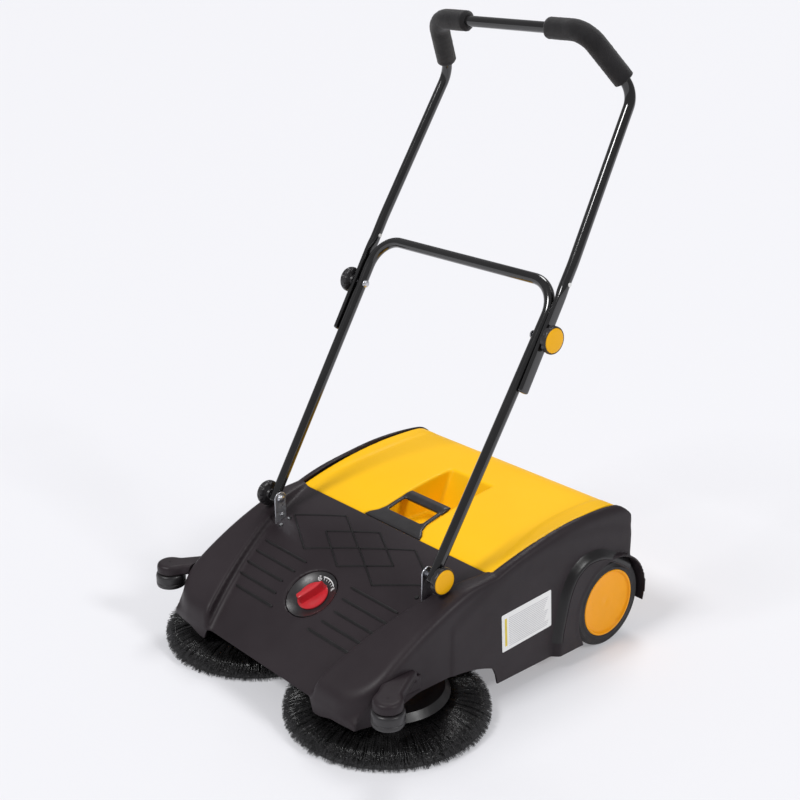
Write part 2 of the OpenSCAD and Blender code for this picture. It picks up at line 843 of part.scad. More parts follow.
// clamp knob with eight finger scallops, mouth of its thread facing the tube
module knob(x) translate([x, 0, 0]) rotate([90, 0, 90]) difference() {
  union() {
    cylinder(r = 10, h = 5);
    translate([0, 0, 5]) cylinder(r = knob_d / 2, h = knob_w - 5);
  }
  for (k = [0 : 7]) rotate([0, 0, k * 45]) translate([knob_d / 2 + 3, 0, 4])
    cylinder(r = 6, h = 8);
  cylinder(r = bolt_r + fit, h = 12);
  translate([0, 0, knob_w - 1.5]) cylinder(r = 22, h = 3);
}

module cap(x) translate([x + knob_w - 1.5, 0, 0]) rotate([90, 0, 90])
  cylinder(r1 = 21.9, r2 = 20.6, h = 3);

module low_frame() translate([0, pivot_y, pivot_z]) children();

module mid_frame() lower_frame() translate([0, 0, knob_s]) children();

module knob_low_right() color(BLACK) low_frame() knob(knob_low_x);

module knob_low_left() color(BLACK) mirror([1, 0, 0]) low_frame() knob(knob_low_x);

module knob_mid_right() color(BLACK) mid_frame() knob(knob_mid_x);

module knob_mid_left() color(BLACK) mirror([1, 0, 0]) mid_frame() knob(knob_mid_x);

module cap_low_right() color(YELLOW) low_frame() cap(knob_low_x);

module cap_low_left() color(YELLOW) mirror([1, 0, 0]) low_frame() cap(knob_low_x);

module cap_mid_right() color(YELLOW) mid_frame() cap(knob_mid_x);

module cap_mid_left() color(YELLOW) mirror([1, 0, 0]) mid_frame() cap(knob_mid_x);

// ---------- assembly ----------
front_cover();
side_panel_right();
side_panel_left();
carrier_plate_right();
carrier_plate_left();
roller_hood();
lip_bar();
dirt_lip();
brush_beam();
spindles();
spindle_bolts();
lay_pins();
stub_axles();
pivot_brackets();
bracket_screws();
pivot_bolts();
dial_plate();
label();
bumper_brackets();
bumper_pins();
drive_belt();
brush_belt_right();
brush_belt_left();
tyre_right();
tyre_left();
hub_right();
hub_left();
drive_pulley();
roller_core();
roller_bristles();
roller_pulleys();
lay_gear_right();
lay_gear_left();
brush_disc_right();
brush_disc_left();
bristle_ring_right();
bristle_ring_left();
crown_gear_right();
crown_gear_left();
lower_handle();
mid_bolts();
upper_handle();
grip_right();
grip_left();
tube_plugs();
knob_low_right();
knob_low_left();
knob_mid_right();
knob_mid_left();
cap_low_right();
cap_low_left();
cap_mid_right();
cap_mid_left();
dial_knob();
bumper_roller_right();
bumper_roller_left();
hopper_lid();
hopper_tub();
carry_handle();
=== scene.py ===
import json
import math
import bpy
import numpy as np
from mathutils import Matrix, Vector

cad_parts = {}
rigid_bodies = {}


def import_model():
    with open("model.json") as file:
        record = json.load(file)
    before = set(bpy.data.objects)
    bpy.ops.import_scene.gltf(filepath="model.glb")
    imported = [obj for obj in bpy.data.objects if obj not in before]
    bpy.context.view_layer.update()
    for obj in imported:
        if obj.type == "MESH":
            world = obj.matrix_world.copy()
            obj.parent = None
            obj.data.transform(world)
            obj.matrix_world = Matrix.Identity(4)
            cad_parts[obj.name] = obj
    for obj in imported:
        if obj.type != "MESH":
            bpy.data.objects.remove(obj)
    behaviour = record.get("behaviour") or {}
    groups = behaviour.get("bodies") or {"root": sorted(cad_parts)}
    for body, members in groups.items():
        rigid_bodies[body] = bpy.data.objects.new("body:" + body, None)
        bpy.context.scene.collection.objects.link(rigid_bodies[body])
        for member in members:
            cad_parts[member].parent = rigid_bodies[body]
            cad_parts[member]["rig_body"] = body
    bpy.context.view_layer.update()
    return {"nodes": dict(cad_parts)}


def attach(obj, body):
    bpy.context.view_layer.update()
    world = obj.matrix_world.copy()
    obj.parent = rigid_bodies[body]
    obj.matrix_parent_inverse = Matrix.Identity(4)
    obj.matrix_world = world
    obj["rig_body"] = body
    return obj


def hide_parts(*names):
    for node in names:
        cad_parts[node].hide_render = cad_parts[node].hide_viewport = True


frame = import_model()

MM = 0.001
rng = np.random.default_rng(30)

# ------------------------------------------------------------ sizes, in mm, as in the CAD
# An arc is (y and z of its centre, radius). RIM_ARC is a little flatter than the CAD's, as photographed.
COVER_ARC = (88.6, -336.2, 576.5)
CREASE_ARC = (101.1, -397.4, 653.1)
RIM_ARC = (207.0, -358.9, 633.0)
LID_ARC = (240.0, -600.5, 870.6)
LID_TAIL = (240.0, 190.0, 84.0)
RIM_TAIL = (219.9, 148.5, 132.2)
BRUSH_ARCH = (-138.5, -177.0, 265.0)
WALL_X, RIM_X, LID_X, SKIN = 272.0, 256.0, 253.5, 3.5
SEAM_Y, REAR_Y, NOSE_Y = -19.5, 328.0, -322.0
AXLE = (266.0, 84.0)
WELL_R, FENDER_X = 92.0, 286.0
ROLLER = (33.0, 62.0)
DISC_X, DISC_Y, DISC_R = 178.0, -184.0, 177.6
DIAL_Y, DIAL_Z, DIAL_LEAN = -203.0, 161.0, 30.4
BUMPER = (307.0, -294.0)
BUMPER_Z = 88.0
PIVOT = (-115.0, 245.6)
LOWER_LEAN, UPPER_LEAN = 31.17, 29.9
LEG_X0, LEG_X1, LOWER_LEN, KNOB_S = 215.5, 224.8, 521.8, 430.5
UPPER_X, FOOT_X, CRANK_X, TOP_X = 236.5, 238.75, 221.0, 175.0
TUBE_R, FOAM_R = 9.5, 18.0
KNOB_LOW_X, KNOB_MID_X = 225.8, 244.0


# ------------------------------------------------------------ materials
def material(name, color, rough=0.45, metal=0.0, coat=0.0, spec=0.5, shift=0.12, big=9.0, grain=900.0,
             bump=0.05, rough_span=0.12, scuff=0.0, scuff_color=(0.3, 0.3, 0.3), depth=0.0006, sheen=0.0):
    """Moulded or painted finish: cloudy colour, fine grain in the bump, uneven roughness, optional scuffs."""
    m = bpy.data.materials.new(name)
    m.use_nodes = True
    nt = m.node_tree
    nt.nodes.clear()
    out = nt.nodes.new("ShaderNodeOutputMaterial")
    bsdf = nt.nodes.new("ShaderNodeBsdfPrincipled")
    nt.links.new(bsdf.outputs[0], out.inputs[0])
    bsdf.inputs["Metallic"].default_value = metal
    bsdf.inputs["Coat Weight"].default_value = coat
    bsdf.inputs["Coat Roughness"].default_value = 0.08
    bsdf.inputs["Specular IOR Level"].default_value = spec
    bsdf.inputs["Sheen Weight"].default_value = sheen
    coord = nt.nodes.new("ShaderNodeTexCoord")

    def noise(scale, detail, rough_n=0.5):
        n = nt.nodes.new("ShaderNodeTexNoise")
        n.inputs["Scale"].default_value = scale
        n.inputs["Detail"].default_value = detail
        n.inputs["Roughness"].default_value = rough_n
        nt.links.new(coord.outputs["Object"], n.inputs["Vector"])
        return n.outputs["Fac"]

    def ramp(fac, lo, hi, a, b):
        r = nt.nodes.new("ShaderNodeMapRange")
        r.inputs["From Min"].default_value = lo
        r.inputs["From Max"].default_value = hi
        r.inputs["To Min"].default_value = a
        r.inputs["To Max"].default_value = b
        nt.links.new(fac, r.inputs["Value"])
        return r.outputs[0]

    def mix(fac, a, b):
        x = nt.nodes.new("ShaderNodeMix")
        x.data_type = "RGBA"
        nt.links.new(fac, x.inputs[0])
        for value, sock in ((a, x.inputs[6]), (b, x.inputs[7])):
            if hasattr(value, "links"):
                nt.links.new(value, sock)
            else:
                sock.default_value = (*value, 1)
        return x.outputs[2]

    cloud = noise(big, 4)
    dark = tuple(c * (1 - shift) for c in color)
    light = tuple(min(1, c * (1 + shift) + 0.004) for c in color)
    col = mix(ramp(cloud, 0.3, 0.7, 0, 1), dark, light)
    fine = noise(grain, 2)
    rgh = ramp(noise(big * 5, 5, 0.6), 0.3, 0.7, rough - rough_span / 2, rough + rough_span / 2)
    if scuff:
        mark = ramp(noise(big * 2.3, 9, 0.72), 0.62, 0.70, 0, scuff)
        col = mix(mark, col, scuff_color)
    nt.links.new(col, bsdf.inputs["Base Color"])
    nt.links.new(rgh, bsdf.inputs["Roughness"])
    b = nt.nodes.new("ShaderNodeBump")
    b.inputs["Strength"].default_value = bump
    b.inputs["Distance"].default_value = depth
    nt.links.new(fine, b.inputs["Height"])
    nt.links.new(b.outputs[0], bsdf.inputs["Normal"])
    return m


M = {
    "housing": material("housing_plastic", (0.0185, 0.0128, 0.0158), 0.46, spec=0.24, shift=0.1, big=6,
                        grain=1500, bump=0.12, rough_span=0.1, scuff=0.12, scuff_color=(0.04, 0.036, 0.04)),
    # Dark plastic of the cover ribs and brush discs; the flare bands use it as painted shade on the flare
    # slopes.
    "relief": material("relief_and_flare_shade_plastic", (0.0036, 0.0028, 0.0034), 0.36, spec=0.42, shift=0.2, big=8,
                       grain=1500, bump=0.10, rough_span=0.1, scuff=0.1, scuff_color=(0.02, 0.018, 0.02)),
    "lid": material("lid_plastic", (0.95, 0.52, 0.002), 0.42, spec=0.16, shift=0.03, big=5, grain=1400,
                    bump=0.05, rough_span=0.08, scuff=0.05, scuff_color=(0.72, 0.36, 0.02)),
    "tub": material("tub_plastic", (0.80, 0.36, 0.006), 0.48, shift=0.06, big=7, grain=1100, bump=0.1,
                    scuff=0.3, scuff_color=(0.30, 0.17, 0.05)),
    "hub": material("wheel_hub_plastic", (0.95, 0.38, 0.002), 0.36, spec=0.2, shift=0.04, big=14, grain=1300,
                    bump=0.05, scuff=0.34, scuff_color=(0.55, 0.14, 0.01)),
    "tyre": material("tyre_rubber", (0.016, 0.0145, 0.016), 0.62, spec=0.4, shift=0.2, big=16, grain=700,
                     bump=0.2, scuff=0.25, scuff_color=(0.07, 0.065, 0.06)),
    "bristle": material("bristle_nylon", (0.011, 0.0105, 0.011), 0.27, spec=0.8, shift=0.35, big=60,
                        grain=400, bump=0.1, rough_span=0.2),
    "core": material("core_plastic", (0.03, 0.03, 0.032), 0.5, shift=0.14, big=12, grain=900, bump=0.1,
                     scuff=0.25, scuff_color=(0.1, 0.1, 0.1)),
    "gear": material("gear_acetal", (0.72, 0.70, 0.64), 0.4, shift=0.05, big=20, grain=900, bump=0.06,
                     scuff=0.35, scuff_color=(0.25, 0.22, 0.18)),
    "tube": material("tube_paint", (0.0035, 0.0032, 0.0036), 0.13, coat=0.5, spec=0.6, shift=0.25, big=18,
                     grain=700, bump=0.008, rough_span=0.03, scuff=0.1, scuff_color=(0.02, 0.02, 0.02)),
    "foam": material("grip_foam", (0.0135, 0.0125, 0.0135), 0.93, spec=0.16, shift=0.25, big=30, grain=650,
                     bump=0.9, depth=0.0012, rough_span=0.08, sheen=0.25),
    "knob": material("knob_plastic", (0.017, 0.0155, 0.017), 0.36, shift=0.15, big=40, grain=1100, bump=0.1,
                     scuff=0.2, scuff_color=(0.07, 0.07, 0.07)),
    "cap": material("cap_plastic", (0.93, 0.46, 0.002), 0.36, spec=0.2, shift=0.03, big=30, grain=1200,
                    bump=0.05, scuff=0.12, scuff_color=(0.6, 0.28, 0.01)),
    "dial": material("dial_knob_red", (0.50, 0.012, 0.02), 0.34, shift=0.08, big=40, grain=900, bump=0.08,
                     coat=0.15, scuff=0.15, scuff_color=(0.26, 0.006, 0.01)),
    "zinc": material("zinc_plate", (0.56, 0.57, 0.60), 0.34, metal=1.0, shift=0.08, big=35, grain=500,
                     bump=0.08, rough_span=0.16, scuff=0.3, scuff_color=(0.36, 0.36, 0.37)),
    "belt": material("drive_belt_urethane", (0.46, 0.13, 0.02), 0.42, shift=0.12, big=30, grain=600, bump=0.1,
                     scuff=0.3, scuff_color=(0.16, 0.06, 0.02)),
    "lip": material("lip_rubber", (0.02, 0.019, 0.02), 0.66, shift=0.2, big=22, grain=800, bump=0.2,
                    scuff=0.3, scuff_color=(0.08, 0.075, 0.07)),
    "plug": material("plug_nylon", (0.78, 0.78, 0.76), 0.4, shift=0.04, big=60, grain=1200, bump=0.05),
    "label": material("label_film", (0.86, 0.86, 0.85), 0.4, shift=0.02, big=20, grain=1500, bump=0.03),
    "print": material("dial_print", (0.75, 0.75, 0.75), 0.5, shift=0.06, big=60, grain=1500, bump=0.05),
    "rule": material("label_rule_grey", (0.42, 0.42, 0.44), 0.5, shift=0.08, big=60, grain=1500, bump=0.03),
    "strip": material("label_strip_yellow", (0.72, 0.55, 0.04), 0.45, shift=0.05, big=60, grain=1500,
                      bump=0.03),
}
SLOT = {name: name for name in M}
SLOT.update(hub="wheel_hub", print="housing", relief="housing", rule="label", strip="label")


# ------------------------------------------------------------ mesh building
def piece(name, verts, faces, mat, body, replaces=(), angle=None):
    """A mesh object in metres that rides on a body; faces may be tuples of any length."""
    v = np.asarray(verts, float) * MM
    mesh = bpy.data.meshes.new(name)
    mesh.from_pydata(v.tolist(), [], [tuple(int(i) for i in f) for f in faces])
    mesh.validate()
    mesh.materials.append(M[mat])
    ob = bpy.data.objects.new(name, mesh)
    bpy.context.scene.collection.objects.link(ob)
    mesh.shade_smooth()
    if angle:
        mesh.set_sharp_from_angle(angle=math.radians(angle))
    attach(ob, body)
    if replaces:
        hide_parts(*replaces)
    return ob


def merge(parts):
    """Several (verts, faces) lists as one."""
    vs, fs, base = [], [], 0
    for v, f in parts:
        vs.append(np.asarray(v, float))
        fs += [tuple(i + base for i in q) for q in f]
        base += len(v)
    return np.concatenate(vs), fs


def mirrored(part):
    v, f = part
    w = np.array(v, float)
    w[:, 0] *= -1
    return w, [tuple(reversed(q)) for q in f]


def revolve(profile, n=96, lobes=None, closed=True, start=0.0, sweep=360.0):
    """(r, h) profile turned about Z. lobes(angle, r, h) may change r. A part turn gets end faces."""
    full = abs(sweep - 360) < 1e-6
    m = n if full else n + 1
    ang = np.radians(start + sweep * np.arange(m) / n)
    p = np.array(profile, float)
    R, H = p[:, 0], p[:, 1]
    verts = []
    for a in ang:
        r = R if lobes is None else np.array([lobes(a, x, y) for x, y in p])
        verts.append(np.stack([r * math.cos(a), r * math.sin(a), H], 1))
    k = len(p)
    v = np.concatenate(verts)
    faces = []
    span = k if closed else k - 1
    for i in range(n):
        a, b = i * k, ((i + 1) % m) * k
        for j in range(span):
            q = (j + 1) % k
            faces.append((a + j, b + j, b + q, a + q))
    if not full:
        faces.append(tuple(range(k)))
        faces.append(tuple(reversed(range((m - 1) * k, m * k))))
    return weld(v, faces)


def weld(v, faces, tol=1e-4):
    """Merges points at the same place and drops faces that lose their area."""
    key = np.round(np.asarray(v) / tol).astype(np.int64)
    _, first, inv = np.unique(key, axis=0, return_index=True, return_inverse=True)
    inv = inv.ravel()
    out = []
    for f in faces:
        g = []
        for i in f:
            j = int(inv[i])
            if not g or g[-1] != j:
                g.append(j)
        if len(g) > 1 and g[0] == g[-1]:
            g.pop()
        if len(g) >= 3:
            out.append(tuple(g))
    return np.asarray(v)[first], out


def rounded(points, r, n=4):
    """A closed 2D outline with its corners rounded; a point may be (x, y, its own radius)."""
    out = []
    pts = [(p[0], p[1], p[2] if len(p) > 2 else r) for p in points]
    for i, (x, y, rad) in enumerate(pts):
        a, b = np.array(pts[i - 1][:2]), np.array(pts[(i + 1) % len(pts)][:2])
        c = np.array((x, y))
        u, w = a - c, b - c
        lu, lw = np.linalg.norm(u), np.linalg.norm(w)
        if rad <= 0 or lu < 1e-6 or lw < 1e-6:
            out.append((x, y))
            continue
        d = min(rad, lu * 0.45, lw * 0.45)
        p, q = c + u / lu * d, c + w / lw * d
        for t in np.linspace(0, 1, n):
            s = (1 - t) ** 2 * p + 2 * t * (1 - t) * c + t * t * q
            out.append((s[0], s[1]))
    return out


def rings(n, k):
    """Faces round n rings of k points each, with both ends closed."""
    faces = [(i * k + j, i * k + (j + 1) % k, (i + 1) * k + (j + 1) % k, (i + 1) * k + j)
             for i in range(n - 1) for j in range(k)]
    return faces + [tuple(reversed(range(k))), tuple(range((n - 1) * k, n * k))]


def place(part, matrix):
    v, f = part
    m = np.array(matrix, float)
    return np.asarray(v, float) @ m[:3, :3].T + m[:3, 3], f


def along_x(part, x, y, z, flip=False):
    """Turns a part made about Z so that its axis points along +X, or -X when flipped."""
    m = np.eye(4)
    m[:3, :3] = [[0, 0, 1], [1, 0, 0], [0, 1, 0]]
    m[:3, 3] = (x, y, z)
    got = place(part, m)
    return mirrored(got) if flip else got


def tilt(deg, y, z):
    """OpenSCAD's translate([0, y, z]) rotate([deg, 0, 0]) as a matrix."""
    return Matrix.Translation((0, y, z)) @ Matrix.Rotation(math.radians(deg), 4, "X")


# ------------------------------------------------------------ implicit surfaces
def smin(a, b, k):
    h = np.clip(k - np.abs(a - b), 0, None) / k
    return np.minimum(a, b) - h * h * k / 4


def smax(a, b, k):
    return -smin(-a, -b, k)


def step01(t):
    t = np.clip(t, 0, 1)
    return t * t * (3 - 2 * t)


def arc_sd(y, z, a, inset=0.0):
    return np.hypot(y - a[0], z - a[1]) - (a[2] - inset)


def arc_top(y, a):
    """Height of an arc at y."""
    return a[1] + np.sqrt(np.maximum(a[2] ** 2 - (y - a[0]) ** 2, 0))


def poly_sd(x, y, pts):
    """Signed distance to a polygon, negative inside."""
    d = np.full(np.broadcast(x, y).shape, 1e9)
    inside = np.zeros(d.shape, bool)
    n = len(pts)
    for i in range(n):
        ax, ay = pts[i]
        bx, by = pts[(i + 1) % n]
        ex, ey = bx - ax, by - ay
        wx, wy = x - ax, y - ay
        t = np.clip((wx * ex + wy * ey) / (ex * ex + ey * ey), 0, 1)
        d = np.minimum(d, (wx - ex * t) ** 2 + (wy - ey * t) ** 2)
        cross = (ay > y) != (by > y)
        with np.errstate(divide="ignore", invalid="ignore"):
            hit = x < ax + (y - ay) / (by - ay if by != ay else 1e-9) * ex
        inside ^= cross & hit
    return np.where(inside, -1, 1) * np.sqrt(d)


CORNERS = [(i, j, k) for i in (0, 1) for j in (0, 1) for k in (0, 1)]
EDGES = [(a, b) for a in CORNERS for b in CORNERS
         if sum(abs(p - q) for p, q in zip(a, b)) == 1 and a < b]


def surface(f, lo, hi, step, rounds=4):
    """The surface f = 0 as quads on a grid, its points then moved onto the exact surface."""
    lo = np.array(lo, float)
    n = [int(math.ceil((h - l) / step)) + 1 for l, h in zip(lo, hi)]
    axes = [lo[i] + step * np.arange(n[i]) for i in range(3)]
    grid = np.broadcast_to(f(axes[0][:, None, None], axes[1][None, :, None], axes[2][None, None, :]),
                           n).astype(np.float32)
    sign = grid < 0
    cell = [k - 1 for k in n]
    count = np.zeros(cell, np.int8)
    for c in CORNERS:
        count += sign[c[0]:c[0] + cell[0], c[1]:c[1] + cell[1], c[2]:c[2] + cell[2]]
    active = (count > 0) & (count < 8)
    at = np.argwhere(active)
    ids = -np.ones(cell, np.int64)
    ids[active] = np.arange(len(at))
    total = np.zeros((len(at), 3))
    hits = np.zeros(len(at))
    for a, b in EDGES:
        fa = grid[at[:, 0] + a[0], at[:, 1] + a[1], at[:, 2] + a[2]]
        fb = grid[at[:, 0] + b[0], at[:, 1] + b[1], at[:, 2] + b[2]]
        m = (fa < 0) != (fb < 0)
        t = (fa[m] / (fa[m] - fb[m]))[:, None]
        total[m] += np.array(a) + t * (np.array(b) - np.array(a))
        hits[m] += 1
    points = lo + step * (at + total / hits[:, None])
    quads = []
    for ax in range(3):
        near = [slice(1, -1)] * 3
        far = [slice(1, -1)] * 3
        near[ax], far[ax] = slice(0, -1), slice(1, None)
        s0, s1 = sign[tuple(near)], sign[tuple(far)]
        idx = np.argwhere(s0 != s1)
        up = s0[s0 != s1]
        u, v = (ax + 1) % 3, (ax + 2) % 3
        ring = []
        for du, dv in ((0, 0), (1, 0), (1, 1), (0, 1)):
            p = idx.copy()
            p[:, u] += du
            p[:, v] += dv
            ring.append(ids[p[:, 0], p[:, 1], p[:, 2]])
        q = np.stack(ring, 1)
        q[~up] = q[~up][:, ::-1]
        quads.append(q)
    quads = np.concatenate(quads)
    h = 0.15
    for _ in range(rounds):
        x, y, z = points.T
        val = f(x, y, z)
        g = np.stack([f(x + h, y, z) - f(x - h, y, z), f(x, y + h, z) - f(x, y - h, z),
                      f(x, y, z + h) - f(x, y, z - h)], 1) / (2 * h)
        move = -val[:, None] * g / (np.sum(g * g, 1)[:, None] + 1e-6)
        far = np.linalg.norm(move, axis=1)
        move *= np.minimum(1, step * 0.35 / (far + 1e-9))[:, None]
        points = points + move
    return points, quads


def clip(points, faces, g):
    """Cuts the mesh along g = 0 and keeps where g <= 0. Faces come back as triangles."""
    faces = np.asarray(faces)
    if faces.shape[1] == 4:
        faces = np.concatenate([faces[:, [0, 1, 2]], faces[:, [0, 2, 3]]])
    inside = g <= 0
    n_in = inside[faces].sum(1)
    keep = [faces[n_in == 3]]
    new_pts, table = [], {}
    base = len(points)

    def cut(a, b):
        key = (a, b) if a < b else (b, a)
        if key not in table:
            ga, gb = g[key[0]], g[key[1]]
            t = ga / (ga - gb)
            new_pts.append(points[key[0]] * (1 - t) + points[key[1]] * t)
            table[key] = base + len(new_pts) - 1
        return table[key]

    extra = []
    for tri in faces[(n_in > 0) & (n_in < 3)]:
        flags = inside[tri]
        if flags.sum() == 1:
            k = int(np.argmax(flags))
            a, b, c = tri[k], tri[(k + 1) % 3], tri[(k + 2) % 3]
            extra.append((a, cut(a, b), cut(a, c)))
        else:
            k = int(np.argmin(flags))
            a, b, c = tri[k], tri[(k + 1) % 3], tri[(k + 2) % 3]
            ab, ac = cut(a, b), cut(a, c)
            extra += [(ab, b, c), (ab, c, ac)]
    faces = np.concatenate(keep + ([np.array(extra)] if extra else []))
    points = np.concatenate([points, np.array(new_pts)]) if new_pts else points
    used = np.unique(faces)
    remap = -np.ones(len(points), np.int64)
    remap[used] = np.arange(len(used))
    return points[used], remap[faces]


def half_and_mirror(points, faces):
    """Cuts at x = 0, keeps the right half and adds its mirror image, joined along the cut."""
    p, f = clip(points, faces, -points[:, 0])
    q, g = mirrored((p, f.tolist()))
    return weld(np.concatenate([p, q]), f.tolist() + [tuple(i + len(p) for i in t) for t in g], 2e-3)


def finished(ob, *modifiers):
    """Adds modifiers as (type, settings) and bakes them into the mesh."""
    for kind, settings in modifiers:
        m = ob.modifiers.new(kind.lower(), kind)
        for k, val in settings.items():
            setattr(m, k, val)
    dg = bpy.context.evaluated_depsgraph_get()
    mesh = bpy.data.meshes.new_from_object(ob.evaluated_get(dg))
    ob.modifiers.clear()
    ob.data = mesh
    return ob


# ------------------------------------------------------------ body shell
FLARE = rounded([(111, 0), (111, 70), (117, 98), (128, 148), (149, 188), (188, 212), (240, 210), (285, 187),
                 (330, 157), (380, 110), (380, 0)], 26, 4)
FLARE_RAMP = 20.0


def tail_sd(y, z, a, power=2.45):
    """Rounded rear corner about the centre a, a little fuller than a circle."""
    u, v = np.maximum(y - a[0], 1e-6), np.maximum(z - a[1], 1e-6)
    return (u ** power + v ** power) ** (1 / power) - a[2]


def roof(y):
    """Height that the side walls keep under, so that they end level with the lid."""
    return np.where(y < SEAM_Y, 233 + (y - SEAM_Y) * 0.03, arc_top(y, RIM_ARC) + 1)


def flare_out(depth):
    """How far out the wheel flare stands at a depth inside its outline."""
    return WALL_X - 1 + 15 * step01(depth / FLARE_RAMP)


def body_sd(x, y, z):
    x = np.abs(x)
    cover = smax(arc_sd(y, z, COVER_ARC), x - RIM_X, 2)
    cover = smax(cover, NOSE_Y + 2 - y, 3)
    crease = arc_sd(y, z, CREASE_ARC)
    dx, dy = x - 206, -256 - y
    nose = np.hypot(np.maximum(dx, 0), np.maximum(dy, 0)) + np.minimum(np.maximum(dx, dy), 0) - 66
    inner = ((x - 250) * -302 + (y + 20) * 100) / 318.1
    inner = smin(inner, RIM_X - x, 10)
    cheek = smax(smax(crease, nose, 17), inner, 9)
    rim = smax(smax(arc_sd(y, z, RIM_ARC), x - WALL_X, 20), RIM_X + 1 - x, 3)
    wall = smin(cheek, smax(rim, NOSE_Y + 200 - y, 3), 8)
    wall = smax(wall, z - roof(y), 6)
    body = smin(cover, wall, 14)
    body = smax(smax(body, tail_sd(y, z, RIM_TAIL), 4), y - REAR_Y, 7)
    depth = -poly_sd(y, z, FLARE)
    flare = smax(smax(x - flare_out(depth), -depth, 1), y - REAR_Y, 5)
    body = smin(body, flare, 2)
    ring = np.maximum(np.hypot(y - AXLE[0], z - AXLE[1]) - WELL_R - SKIN, np.maximum(x - FENDER_X, 228 - x))
    body = smin(body, ring, 3)
    c, s = math.cos(math.radians(DIAL_LEAN)), math.sin(math.radians(DIAL_LEAN))
    w = (z - DIAL_Z) * c - (y - DIAL_Y) * s
    t = (y - DIAL_Y) * c + (z - DIAL_Z) * s
    radial = np.hypot(x, t)
    cup = smax(radial - 49.3, -13.0 - w, 5)
    return smax(body, -cup, 4)


def shell_keep(p):
    """Negative where the moulding is, positive in its openings and below its edges."""
    x, y, z = np.abs(p[:, 0]), p[:, 1], p[:, 2]
    arch = arc_top(y, BRUSH_ARCH)
    front = 60 + 28 * step01((y + 300) / 110)
    side = np.where(y < BRUSH_ARCH[0], front, arch)
    side = np.where(y > -30, 30 + (arch - 30) * np.clip(1 - ((y + 30) / 11), 0, 1) ** 0.35, side)
    side = np.where(y > -19, 30, side)
    side = np.where((y > 265), 77, side)
    lip = 50 + 20 * step01((158 - x) / 10) + 10 * step01((x - 165) / 45)
    bottom = np.where((y < -200) & (x < 205), lip, side) - z
    top = np.maximum(np.maximum(x - RIM_X, SEAM_Y - 0.6 - y), 186 - z)
    low = np.maximum(x - 206, SEAM_Y - 0.6 - y)
    back = np.maximum(np.maximum(x - RIM_X, SEAM_Y - 0.6 - y), z - 100)
    wheel = np.maximum(np.hypot(y - AXLE[0], z - AXLE[1]) - WELL_R, 240 - x)
    hole = np.minimum(np.minimum(top, low), np.minimum(back, wheel))
    return np.maximum(bottom, -hole)


def strip(line, width, height, ends=True):
    """A rounded bar laid on the centre panel along a line of (x, y) points."""
    prof = [(-0.5, -0.7), (-0.44, 0.55), (-0.24, 1.0), (0.24, 1.0), (0.44, 0.55), (0.5, -0.7)]
    (x0, y0), (x1, y1) = line
    n = max(3, int(math.hypot(x1 - x0, y1 - y0) / 5))
    d = np.array([x1 - x0, y1 - y0]) / math.hypot(x1 - x0, y1 - y0)
    verts = []
    for i in range(n + 1):
        t = i / n
        x, y = x0 + (x1 - x0) * t, y0 + (y1 - y0) * t
        grow = 1.0
        if ends:
            run = min(t, 1 - t) * math.hypot(x1 - x0, y1 - y0)
            grow = min(1.0, 0.55 + 0.45 * run / (width * 0.6))
        for a, b in prof:
            px, py = x - d[1] * a * width * grow, y + d[0] * a * width * grow
            nz = float(arc_top(py, COVER_ARC))
            ny = np.array([0, py - COVER_ARC[0], nz - COVER_ARC[1]]) / COVER_ARC[2]
            lift = b * height if b > 0 else b
            verts.append((px, py + ny[1] * lift, nz + ny[2] * lift))
    return np.array(verts), rings(n + 1, len(prof))


def build_shell():
    p, f = surface(body_sd, (-9, -330, 20), (295, 372, 290), 4.2)
    p, f = clip(p, f, shell_keep(p))
    v, faces = half_and_mirror(p, f)
    shell = piece("body_shell", v, faces, "housing", "chassis",
                  ("front_cover", "side_panel_right", "side_panel_left"))
    finished(shell, ("SOLIDIFY", dict(thickness=SKIN * MM, offset=-1, use_even_offset=False)))
    shell.data.set_sharp_from_angle(angle=math.radians(50))
    parts = []
    for cx in (-94, 0, 94):
        c = [(cx - 93, -94), (cx, -44.5), (cx + 93, -94), (cx, -143.5)]
        for i in range(4):
            parts.append(strip((c[i], c[(i + 1) % 4]), 3.4, 1.7, ends=False))
    for y, x0, x1 in ((-163.5, 62, 183), (-186.5, 66, 181), (-209.5, 72, 178), (-230.5, 64, 172),
                      (-250, 50, 158)):
        for s in (-1, 1):
            a, b = sorted((s * x0, s * x1))
            parts.append(strip(((a, y), (b, y)), 4.8, 1.7))
    v, faces = merge(parts)
    piece("cover_relief", v, faces, "relief", "chassis", angle=40)
    liner = revolve(rounded([(WELL_R, 228), (WELL_R + 3, 228), (WELL_R + 3, 283.5), (WELL_R, 285)], 0.6, 3),
                    n=72, start=-14, sweep=225)
    wall = revolve([(30, 228), (WELL_R + 1, 228), (WELL_R + 1, 231), (30, 231)], n=72, start=-14, sweep=225)
    both = []
    for part in (liner, wall):
        q = place(part, np.array([[0, 0, 1, 0], [1, 0, 0, AXLE[0]], [0, 1, 0, AXLE[1]], [0, 0, 0, 1]]))
        both += [q, mirrored(q)]
    deck = []
    for s in (1, -1):
        xs = np.array([206, 266.5]) * s
        ys = np.linspace(-58, 322, 40)
        row = [(x, y, zz) for y in ys for zz in (186, 189) for x in xs]
        fs = []
        for i in range(len(ys) - 1):
            a, b = i * 4, i * 4 + 4
            fs += [(a, a + 1, b + 1, b), (a + 2, b + 2, b + 3, a + 3), (a, b, b + 2, a + 2),
                   (a + 1, a + 3, b + 3, b + 1)]
        fs += [(0, 2, 3, 1), (len(row) - 4, len(row) - 3, len(row) - 1, len(row) - 2)]
        row = np.array(row)
        row[:, 2] = np.minimum(row[:, 2], arc_top(row[:, 1], CREASE_ARC) - 6)
        deck.append((row, fs))
    v, faces = merge(both + deck)
    piece("wheel_liners", v, faces, "housing", "chassis", angle=40)
    build_flare_band()


